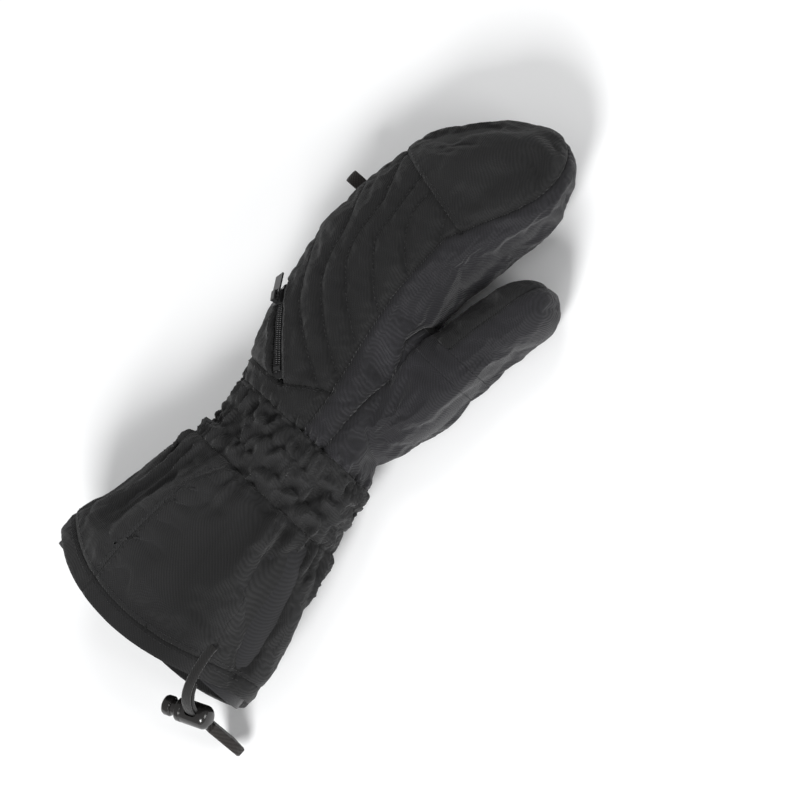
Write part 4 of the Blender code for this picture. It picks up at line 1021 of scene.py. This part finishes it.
@dataclass
class PanelCutter:
    """Parts the mitten's cloth into its sewn panels."""

    cloth: MittenCloth
    grip_pitch: float = 0.0037
    grip_hole: float = 0.0010

    def build(self) -> None:
        """Makes every panel and reports it."""
        whole = bmesh.new()
        whole.from_mesh(self.cloth.obj.data)
        whole.faces.ensure_lookup_table()
        rest = self.cloth.rest
        middles = np.array([rest[[v.index for v in face.verts]].mean(axis=0) for face in whole.faces])
        numbers = self.cloth.numbers.copy()
        x, y = middles[:, 0], middles[:, 1]
        gap = np.abs(x - Lines.zip_line(y)) / math.hypot(1.0, 1.095)
        in_zip = (gap < ZIP_OPEN_HALF) & (y > ZIP_LOW) & (y < ZIP_TOP) & on_back(middles)
        numbers[in_zip] = -1
        for face, number in zip(whole.faces, numbers):
            face.material_index = int(number) + 1
        for index, panel in enumerate(PANEL_ORDER):
            self.part(whole, index, panel)
        whole.free()
        bpy.data.objects.remove(self.cloth.obj)

    def part(self, whole: bmesh.types.BMesh, index: int, panel: Panel) -> None:
        """Cuts one panel out, gives it its thickness and finish, and hangs it on its body unless it is joined to the
        next one.
        """
        job = JOBS[panel]
        bm = whole.copy()
        others = [face for face in bm.faces if face.material_index != index + 1]
        bmesh.ops.delete(bm, geom=others, context="FACES")
        for face in bm.faces:
            face.material_index = 0
        if panel is Panel.GRIP:
            self.emboss(bm)
        obj = new_object(panel.value, bm)
        wall = obj.modifiers.new("wall", "SOLIDIFY")
        wall.thickness, wall.offset = job.thickness, -1.0
        applied(obj)
        settle(obj)
        dress(obj, job.finish)
        attach(obj, job.body, job.joined_to)
        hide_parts(*job.nodes)
        LOG.info("%s: %d faces", obj.name, len(obj.data.polygons))

    def emboss(self, bm: bmesh.types.BMesh) -> None:
        """Sinks staggered round holes into the palm's grip."""
        bmesh.ops.subdivide_edges(bm, edges=bm.edges, cuts=1, use_grid_fill=True)
        bm.normal_update()
        layer = bm.verts.layers.float.get("relief")
        row_height = self.grip_pitch * math.sqrt(3) / 2
        moves = []
        for vert in bm.verts:
            row = round(vert.co.y / row_height)
            stagger = 0.5 * (row % 2) * self.grip_pitch
            column = round((vert.co.x - stagger) / self.grip_pitch)
            gap = math.hypot(vert.co.x - stagger - column * self.grip_pitch, vert.co.y - row * row_height)
            sink = 1.0 - min(max((gap - self.grip_hole * 0.75) / (self.grip_hole * 0.6), 0.0), 1.0)
            moves.append((vert, vert.co - vert.normal * 0.0007 * sink, sink))
        for vert, spot, sink in moves:
            vert.co = spot
            # The holes get a low relief, so the grip's finish paints them darker: painted shade in the holes.
            if layer is not None and sink > 0:
                vert[layer] = -1.4 * sink


LINING_DEPTHS = ((-0.150, 0.0045), (-0.035, 0.0050), (0.010, 0.0090), (0.203, 0.0095))
"""How far inside the shell the lining lies, along the mitten."""

LINING_PARTS = (
    ("cuff_lining_cloth", -0.118, WRIST_LOW, Finish.POCKETING, "cuff", None, ("cuff_lining",)),
    ("wrist_lining_cloth", WRIST_LOW, WRIST_TOP, Finish.LINING, "hand", "cuff", ("wrist_lining",)),
    ("hand_lining_cloth", WRIST_TOP, 1.0, Finish.LINING, "hand", None, ("hand_lining",)),
)


def build_linings() -> None:
    """Hangs the soft lining inside the shell, in its three lengths."""
    keys, depths = zip(*LINING_DEPTHS)
    for name, low, high, finish, body, joined_to, nodes in LINING_PARTS:
        bm = BODY.pouch(80, 120, lambda place: np.interp(place, keys, depths))
        geometry = [*bm.verts, *bm.edges, *bm.faces]
        bmesh.ops.bisect_plane(bm, geom=geometry, plane_co=(0, low, 0), plane_no=(0, -1, 0), clear_outer=True)
        geometry = [*bm.verts, *bm.edges, *bm.faces]
        bmesh.ops.bisect_plane(bm, geom=geometry, plane_co=(0, high, 0), plane_no=(0, 1, 0), clear_outer=True)
        spots = np.array([vert.co for vert in bm.verts])
        soft = 0.0006 * Grain(41).at(spots[:, 0] / 0.013, spots[:, 1] / 0.016, spots[:, 2] / 0.013)
        bm.normal_update()
        for vert, rise in zip(bm.verts, soft):
            vert.co -= vert.normal * abs(float(rise))
        bmesh.ops.reverse_faces(bm, faces=bm.faces)
        obj = new_object(name, bm)
        wall = obj.modifiers.new("wall", "SOLIDIFY")
        wall.thickness, wall.offset = 0.0012, -1.0
        applied(obj)
        settle(obj)
        dress(obj, finish)
        attach(obj, body, joined_to)
        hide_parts(*nodes)


def swept(name: str, route: Sequence[Vector], half_width: float, half_thick: float,
          side: Vector, closed: bool = False, weave: float = 0.0) -> bpy.types.Object:
    """Sweeps a flat rounded band along a route by extruding its ring from place to place.

    Args:
        name: the object's name.
        route: the middle line's points.
        half_width: half the band's width.
        half_thick: half its thickness.
        side: the direction that its width lies nearest to.
        closed: whether the route returns to its start.
        weave: how far the ring's thickness rises and falls, as a share.

    Returns:
        The object.
    """
    bm = bmesh.new()
    count = len(route)
    ring = bmesh.ops.create_circle(bm, cap_ends=False, segments=16, radius=1.0)["verts"]
    turns = [math.atan2(vert.co.y, vert.co.x) for vert in ring]
    for place in range(count):
        if place:
            edges = [edge for edge in bm.edges if edge.verts[0] in ring and edge.verts[1] in ring]
            made = bmesh.ops.extrude_edge_only(bm, edges=edges)["geom"]
            fresh = {vert for vert in made if isinstance(vert, bmesh.types.BMVert)}
            ring = [next(edge.other_vert(vert) for edge in vert.link_edges if edge.other_vert(vert) in fresh)
                    for vert in ring]
        after = route[(place + 1) % count] if closed else route[min(place + 1, count - 1)]
        before = route[place - 1] if closed or place else route[0]
        run = (after - before).normalized()
        across = (side - run * side.dot(run)).normalized()
        up = run.cross(across)
        for vert, turn in zip(ring, turns):
            lift = 1.0 + weave * math.sin(5 * turn + 2.3 * place)
            vert.co = (route[place] + across * math.copysign(abs(math.cos(turn)) ** 0.7, math.cos(turn)) * half_width
                       + up * math.copysign(abs(math.sin(turn)) ** 0.8, math.sin(turn)) * half_thick * lift)
    if closed:
        rims = [edge for edge in bm.edges if edge.is_boundary]
        bmesh.ops.bridge_loops(bm, edges=rims)
    else:
        bmesh.ops.holes_fill(bm, edges=[edge for edge in bm.edges if edge.is_boundary], sides=0)
    bmesh.ops.recalc_face_normals(bm, faces=bm.faces)
    return new_object(name, bm)


def smooth_route(corners: Sequence[tuple[float, float, float]], pitch: float) -> list[Vector]:
    """A smooth curve through corners, with points a pitch apart."""
    rows = tuple((float(index), *corner) for index, corner in enumerate(corners))
    spots = [Vector(p) for p in through(rows, np.linspace(0, len(corners) - 1, 400))]
    route = [spots[0]]
    for spot in spots[1:]:
        if (spot - route[-1]).length >= pitch:
            route.append(spot)
    if (spots[-1] - route[-1]).length > 0.2 * pitch:
        route.append(spots[-1])
    return route


OUTER_LEG = (
    (0.0599, -0.1012, 0.0637), (0.0604, -0.1050, 0.0646), (0.0612, -0.1105, 0.0645), (0.0620, -0.1165, 0.0637),
    (0.0627, -0.1225, 0.0616), (0.0632, -0.1275, 0.0578), (0.0636, -0.1312, 0.0524), (0.0639, -0.1334, 0.0458),
    (0.0640, -0.1342, 0.0390), (0.0640, -0.1342, 0.0320), (0.0646, -0.1343, 0.0272),
)
INNER_LEG = (
    (0.0622, -0.1212, 0.0583), (0.0627, -0.1238, 0.0571), (0.0632, -0.1268, 0.0545), (0.0636, -0.1295, 0.0505),
    (0.0639, -0.1312, 0.0455), (0.0640, -0.1319, 0.0390), (0.0640, -0.1319, 0.0320), (0.0646, -0.1319, 0.0272),
)
LEG_SIDE = Vector((math.cos(math.radians(22)), math.sin(math.radians(22)), 0.0))
LEG_HALF_WIDTH, LEG_HALF_THICK = 0.0026, 0.0009
LOCK_MIDDLE, LOCK_TURN = Vector((0.0640, -0.13305, 0.0380)), math.radians(22)
LOCK_HALF, LOCK_RADIUS, LOCK_BORE = 0.0095, 0.0062, 0.0044
KNOB_RADIUS, KNOB_LENGTH, KNOB_GAP = 0.0052, 0.0050, 0.0030
TAB_LENGTH, TAB_LEAN = 0.0240, math.radians(28)
LOOP_MIDDLE = Vector((-0.0762, 0.118, 0.0250))


def spun(profile: Sequence[tuple[float, float]]) -> bmesh.types.BMesh:
    """Turns a profile of (place, radius) about the X axis, with 64 steps."""
    bm = bmesh.new()
    start = bm.verts.new((profile[0][0], profile[0][1], 0.0))
    edges = []
    for place, radius in profile[1:]:
        made = bmesh.ops.extrude_vert_indiv(bm, verts=[start])
        start = made["verts"][0]
        start.co = (place, radius, 0.0)
        edges += made["edges"]
    bmesh.ops.spin(bm, geom=[*bm.verts, *bm.edges], cent=(0, 0, 0), axis=(1, 0, 0), angle=2 * math.pi,
                   steps=64, use_merge=True)
    bmesh.ops.remove_doubles(bm, verts=bm.verts, dist=1e-6)
    bmesh.ops.recalc_face_normals(bm, faces=bm.faces)
    return bm


class Drawcord:
    """The braid's two legs, the spring lock that they run through and the tab sewn on their ends."""

    def build(self) -> None:
        tab = self.end_tab()
        lock, knob = self.lock()
        for name, corners, node, pieces in (
                ("drawcord_outer_braid", OUTER_LEG, "drawcord_outer_leg", (tab, lock, knob)),
                ("drawcord_inner_braid", INNER_LEG, "drawcord_inner_leg", (tab,))):
            route = smooth_route(corners, 0.0006)
            obj = swept(name, route, LEG_HALF_WIDTH, LEG_HALF_THICK, LEG_SIDE, weave=0.16)
            settle(obj)
            dress(obj, Finish.DRAWCORD)
            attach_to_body(obj, "cuff")
            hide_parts(node)

    def lock(self) -> tuple[bpy.types.Object, bpy.types.Object]:
        """The glossy barrel with its cord hole, and the push knob beside it."""
        stand = Matrix.Translation(LOCK_MIDDLE) @ Matrix.Rotation(LOCK_TURN, 4, "Z")
        half = LOCK_HALF
        dome = [(half - 0.0042 + 0.0042 * math.sin(turn), max(LOCK_RADIUS * math.cos(turn) ** 0.8, 0.0))
                for turn in np.linspace(0.0, math.pi / 2, 12)]
        profile = [(half - 0.0022, 0.0), (half - 0.0022, LOCK_BORE), (-half + 0.0003, LOCK_BORE),
                   (-half, LOCK_BORE + 0.0003), (-half, LOCK_RADIUS - 0.0009), (-half + 0.0002, LOCK_RADIUS - 0.0003),
                   (-half + 0.0009, LOCK_RADIUS), (-half + 0.0030, LOCK_RADIUS), (-half + 0.0033, LOCK_RADIUS - 0.0004),
                   (-half + 0.0039, LOCK_RADIUS - 0.0004), (-half + 0.0042, LOCK_RADIUS), *dome]
        face = -half - KNOB_GAP
        stem = LOCK_BORE - 0.0004
        tip = face + 0.0147
        push = [(face - KNOB_LENGTH, 0.0), (face - KNOB_LENGTH, KNOB_RADIUS - 0.0016),
                (face - KNOB_LENGTH + 0.0004, KNOB_RADIUS - 0.0005), (face - KNOB_LENGTH + 0.0014, KNOB_RADIUS),
                (face - 0.0008, KNOB_RADIUS), (face, KNOB_RADIUS - 0.0008), (face, stem), (tip, stem), (tip, 0.0)]
        made = []
        for name, turned, node, body, slide in (
                ("cord_lock_body", profile, "cord_lock_barrel", "cord_lock", 0.0),
                ("cord_lock_knob", push, "cord_lock_plunger", "cord_plunger", 0.0025)):
            obj = new_object(name, spun(turned))
            cutter_bm = bmesh.new()
            bmesh.ops.create_cube(cutter_bm, size=1.0)
            bmesh.ops.scale(cutter_bm, verts=cutter_bm.verts, vec=(0.0066 + slide, 0.0052, 0.02))
            bmesh.ops.translate(cutter_bm, verts=cutter_bm.verts, vec=(-slide / 2, 0, 0))
            upright = [e for e in cutter_bm.edges if abs(e.verts[0].co.z - e.verts[1].co.z) > 0.01]
            bmesh.ops.bevel(cutter_bm, geom=upright, offset=0.0018, segments=5, profile=0.5, affect="EDGES",
                            material=-1)
            cutter = new_object("hole_cutter", cutter_bm)
            hole = obj.modifiers.new("hole", "BOOLEAN")
            hole.operation, hole.solver, hole.object = "DIFFERENCE", "MANIFOLD", cutter
            applied(obj)
            bpy.data.objects.remove(cutter)
            soft = obj.modifiers.new("soft", "BEVEL")
            soft.width, soft.segments, soft.limit_method, soft.angle_limit = 0.0002, 2, "ANGLE", math.radians(40)
            applied(obj)
            obj.data.transform(stand)
            settle(obj)
            dress(obj, Finish.LOCK)
            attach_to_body(obj, body)
            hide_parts(node)
            made.append(obj)
        return made[0], made[1]

    def end_tab(self) -> bpy.types.Object:
        """The folded webbing on the legs' ends."""
        bm = bmesh.new()
        bmesh.ops.create_cube(bm, size=1.0)
        bmesh.ops.scale(bm, verts=bm.verts, vec=(0.0150, 0.0052, TAB_LENGTH))
        bmesh.ops.translate(bm, verts=bm.verts, vec=(0, 0, -TAB_LENGTH / 2))
        bmesh.ops.bevel(bm, geom=bm.edges, offset=0.0010, segments=3, profile=0.5, affect="EDGES", material=-1)
        bmesh.ops.subdivide_edges(bm, edges=bm.edges, cuts=3, use_grid_fill=True)
        bm.normal_update()
        for vert in bm.verts:
            rib = 0.00012 * math.sin(vert.co.z / 0.0011 * 2 * math.pi)
            vert.co += vert.normal * rib
        end = (Vector(OUTER_LEG[-1]) + Vector(INNER_LEG[-1])) / 2
        lean = Matrix.Rotation(-TAB_LEAN, 3, "Y")
        bmesh.ops.rotate(bm, verts=bm.verts, matrix=lean)
        bmesh.ops.translate(bm, verts=bm.verts, vec=end + lean @ Vector((0, 0, -0.0012)))
        obj = new_object("cord_end_webbing", bm)
        settle(obj)
        dress(obj, Finish.WEBBING)
        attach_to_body(obj, "cuff")
        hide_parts("cord_end_tab")
        return obj


def build_loops(tree: BVHTree) -> None:
    """The webbing loop on the finger edge and the label on the gauntlet."""
    route = [LOOP_MIDDLE + Vector((0.0062 * math.cos(t), 0.0, 0.0022 * math.sin(t)))
             for t in np.linspace(0, 2 * math.pi, 48, endpoint=False)]
    loop = swept("finger_loop_webbing", route, 0.0035, 0.0006, Vector((0, 1, 0)), closed=True)
    settle(loop)
    dress(loop, Finish.WEBBING)
    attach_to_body(loop, "hand")
    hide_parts("finger_loop")
    bm = bmesh.new()
    bmesh.ops.create_grid(bm, x_segments=40, y_segments=12, size=0.5)
    for vert in bm.verts:
        y, z = -0.0785 + vert.co.x * 0.037, 0.018 + vert.co.y * 0.010
        hit, normal, _, _ = tree.ray_cast(Vector((-0.2, y, z)), Vector((1, 0, 0)))
        vert.co = hit + normal * 0.0004
    bmesh.ops.recalc_face_normals(bm, faces=bm.faces)
    if sum(face.normal.x for face in bm.faces) > 0:
        bmesh.ops.reverse_faces(bm, faces=bm.faces)
    label = new_object("label_cloth", bm)
    wall = label.modifiers.new("wall", "SOLIDIFY")
    wall.thickness, wall.offset = 0.0007, 1.0
    applied(label)
    settle(label)
    dress(label, Finish.WEBBING)
    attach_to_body(label, "cuff")
    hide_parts("label_tab")


@dataclass
class Zipper:
    """The pocket zip's tapes and coils, laid in its recess."""

    form: BVHTree
    tooth_pitch: float = 0.00125

    def frame_at(self, y: float) -> tuple[Vector, Vector, Vector, Vector]:
        """The zip's place on the plain form, its run, its cross direction and outward."""
        spots = []
        for place in (y, y + 0.001):
            x = float(Lines.zip_line(np.array([place]))[0])
            spots.append(self.form.ray_cast(Vector((x, place, SKY_HEIGHT)), Vector((0, 0, -1)))[:2])
        here, out = spots[0]
        run = (spots[1][0] - here).normalized()
        cross = run.cross(out).normalized()
        return here, run, cross, cross.cross(run).normalized()

    def build(self) -> None:
        """Makes the tape strip and both coils."""
        bm = bmesh.new()
        bmesh.ops.create_grid(bm, x_segments=70, y_segments=8, size=0.5)
        for vert in bm.verts:
            here, _, cross, out = self.frame_at(lerp(ZIP_LOW, ZIP_TOP, vert.co.x + 0.5))
            vert.co = here + cross * (vert.co.y * 0.0092) - out * 0.0021
        bm.normal_update()
        if sum(face.normal.z for face in bm.faces) < 0:
            bmesh.ops.reverse_faces(bm, faces=bm.faces)
        tape = new_object("zip_tape_cloth", bm)
        wall = tape.modifiers.new("wall", "SOLIDIFY")
        wall.thickness, wall.offset = 0.0005, -1.0
        applied(tape)
        self.fit(tape, Finish.ZIP_TAPE, ("zip_tape_hand_side", "zip_tape_outer_side"))
        for side, name, node in ((1, "zip_teeth_hand_side", "zip_coil_hand_side"),
                                 (-1, "zip_teeth_outer_side", "zip_coil_outer_side")):
            teeth = bmesh.new()
            for place in np.arange(ZIP_LOW + 0.0025, ZIP_TOP - 0.0030, self.tooth_pitch * 0.62):
                here, run, cross, out = self.frame_at(place + (0.31 * self.tooth_pitch if side > 0 else 0.0))
                turned = Matrix((run, cross, out)).transposed().to_4x4()
                spot = Matrix.Translation(here + cross * side * 0.00085 - out * 0.0015)
                bmesh.ops.create_uvsphere(teeth, u_segments=10, v_segments=6, radius=1.0,
                                          matrix=spot @ turned @ Matrix.Diagonal((0.00040, 0.00105, 0.00055, 1.0)))
            self.fit(new_object(name, teeth), Finish.ZIP_PLASTIC, (node,))

    def fit(self, obj: bpy.types.Object, finish: Finish, nodes: tuple[str, ...]) -> None:
        """Places one part of the zip and dresses it."""
        settle(obj)
        dress(obj, finish)
        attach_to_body(obj, "hand")
        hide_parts(*nodes)


@dataclass
class Stitcher:
    """Rows of thread on the finished surface."""

    tree: BVHTree
    pitch: float = 0.0030
    half_length: float = 0.00105
    half_width: float = 0.00026

    def row(self, bm: bmesh.types.BMesh, points: Sequence[Vector]) -> None:
        """Sews one row of stitches along points on the surface."""
        travelled, due = 0.0, 0.0
        for here, ahead in zip(points, points[1:]):
            length = (ahead - here).length
            if length > 0.004:
                continue
            while due <= travelled + length:
                spot = here.lerp(ahead, (due - travelled) / max(length, 1e-9))
                hit, normal, _, _ = self.tree.find_nearest(spot)
                run = (ahead - here).normalized()
                run = (run - normal * run.dot(normal)).normalized()
                turned = Matrix((run, normal.cross(run), normal)).transposed().to_4x4()
                size = Matrix.Diagonal((self.half_length, self.half_width, 0.00020, 1.0))
                bmesh.ops.create_uvsphere(bm, u_segments=8, v_segments=5, radius=1.0,
                                          matrix=Matrix.Translation(hit + normal * 0.00012) @ turned @ size)
                due += self.pitch
            travelled += length

    def plan(self, xs: np.ndarray, ys: np.ndarray) -> list[Vector]:
        """Drops plan points on the top of the surface."""
        hits = [self.tree.ray_cast(Vector((x, y, SKY_HEIGHT)), Vector((0, 0, -1)))[0] for x, y in zip(xs, ys)]
        return [hit for hit in hits if hit is not None]

    def above_seam(self, points: list[Vector]) -> list[Vector]:
        """Keeps the points that lie on the back."""
        return [p for p in points if p.z > float(Lines.back_seam(np.array(p.x), np.array(p.y)))]

    def build(self) -> None:
        """Sews the rows of each body and hangs them on it."""
        hand, cuff = bmesh.new(), bmesh.new()
        for line in QUILT_LINES:
            self.row(hand, drop_line(self.tree, line, 0.0006))
        x = np.linspace(-0.075, 0.035, 240)
        self.row(hand, self.above_seam(self.plan(x, Lines.cross_seam(x) + 0.0020)))
        self.row(hand, self.above_seam([p for p in self.plan(x, Lines.yoke_seam(x) - 0.0020)
                                        if p.x < float(Lines.thumb_line(np.array(p.y))) - 0.001]))
        y = np.linspace(ZIP_LOW - 0.001, ZIP_TOP + 0.002, 120)
        for side in (-0.0079, 0.0079):
            self.row(hand, self.plan(Lines.zip_line(y) + side, y))
        y = np.linspace(-0.117, WRIST_LOW - 0.002, 180)
        for side in (-0.0022, 0.0022):
            self.row(cuff, self.plan(Lines.cuff_seam(y) + side, y))
        x = np.linspace(-0.056, 0.074, 260)
        for offset in (0.0024, -0.0024):
            self.row(cuff, self.plan(x, Lines.hem_line(x) + HEM_DEPTH + offset))
        for name, bm, body in (("hand_stitches", hand, "hand"), ("cuff_stitches", cuff, "cuff")):
            obj = new_object(name, bm)
            settle(obj)
            dress(obj, Finish.THREAD)
            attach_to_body(obj, body)


CAD_FINISHES: dict[str, Finish] = {
    "zip_slider": Finish.ZIP_PLASTIC, "zip_pull": Finish.ZIP_PLASTIC, "zip_bottom_stop": Finish.ZIP_PLASTIC,
    "zip_top_stop": Finish.ZIP_PLASTIC, "cord_lock_spring": Finish.SPRING, "hem_cord_loop": Finish.DRAWCORD,
}


def dress_cad() -> None:
    """Gives the solids that stay in view their finishes."""
    for node, finish in CAD_FINISHES.items():
        obj = bpy.data.objects.get(node)
        if obj is None or obj.hide_render:
            continue
        obj.data.materials.clear()
        obj.data.materials.append(finish.material())


class Studio:
    """The pale floor, the soft lights and the camera."""

    def build(self) -> None:
        """Sets everything up."""
        self.floor()
        self.lights()
        self.camera()

    def floor(self) -> None:
        """A wide pale floor under the mitten, and a world to match."""
        bm = bmesh.new()
        bmesh.ops.create_grid(bm, x_segments=2, y_segments=2, size=6.0)
        floor = new_object("studio_floor", bm)
        floor.location.z = -0.0003
        material = bpy.data.materials.new("studio_floor")
        material.use_nodes = True
        shader = material.node_tree.nodes["Principled BSDF"]
        shader.inputs["Base Color"].default_value = (0.93, 0.935, 0.94, 1.0)
        shader.inputs["Roughness"].default_value = 0.9
        floor.data.materials.append(material)
        floor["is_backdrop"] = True
        world = bpy.data.worlds.new("studio")
        world.use_nodes = True
        world.node_tree.nodes["Background"].inputs["Color"].default_value = (1.0, 1.0, 1.0, 1.0)
        world.node_tree.nodes["Background"].inputs["Strength"].default_value = 0.42
        bpy.context.scene.world = world
        bpy.context.scene.view_settings.view_transform = "Standard"

    def lights(self) -> None:
        """Large soft lights: a key, a fill and a low one."""
        for name, place, power, size in (("key", (0.9, -1.1, 1.0), 30.0, 0.5), ("fill", (-0.7, 0.9, 1.3), 7.0, 0.8),
                                         ("low", (1.4, 0.5, 0.7), 9.0, 0.6)):
            data = bpy.data.lights.new(name, "AREA")
            data.energy, data.size = power, size
            lamp = bpy.data.objects.new(name, data)
            lamp.location = place
            lamp.rotation_euler = (Vector((0, 0.03, 0.03)) - Vector(place)).to_track_quat("-Z", "Y").to_euler()
            bpy.context.scene.collection.objects.link(lamp)
            lamp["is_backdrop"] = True

    def camera(self) -> None:
        """The camera, turned so that the fingers point up to the right."""
        target = Vector((0.0221, 0.050, 0.0203)) + WRIST_PLACE
        toward = Vector((0.469, 0.0, 0.883)).normalized()
        level = Vector((-0.883, 0.0, 0.469)).normalized()
        turn = math.radians(48)
        forward = Vector((0, 1, 0))
        right = forward * math.cos(turn) - level * math.sin(turn)
        up = forward * math.sin(turn) + level * math.cos(turn)
        data = bpy.data.cameras.new("camera")
        data.sensor_width, data.lens = 36.0, 270.0
        data.clip_end = 20.0
        camera = bpy.data.objects.new("camera", data)
        turned = Matrix((right, up, toward)).transposed().to_4x4()
        camera.matrix_world = Matrix.Translation(target + toward * 3.0) @ turned
        bpy.context.scene.collection.objects.link(camera)
        bpy.context.scene.camera = camera


def main() -> None:
    """Builds the mitten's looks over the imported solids."""
    cloth = MittenCloth()
    plain = new_object("plain_form", BODY.pouch(96, 110, np.zeros_like))
    form_tree = BVHTree.FromObject(plain, bpy.context.evaluated_depsgraph_get())
    bpy.data.objects.remove(plain)
    cloth.build()
    PanelCutter(cloth).build()
    build_linings()
    Zipper(form_tree).build()
    Stitcher(cloth.tree).build()
    build_loops(cloth.tree)
    Drawcord().build()
    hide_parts("hem_cord_loop")
    dress_cad()
    Studio().build()
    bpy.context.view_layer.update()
    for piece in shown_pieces():
        LOG.info("%s: %d faces", piece.name, len(piece.data.polygons) if piece.type == "MESH" else 0)


if __name__ == "__main__":
    logging.basicConfig(level=logging.INFO, format="%(name)s: %(message)s")
    main()
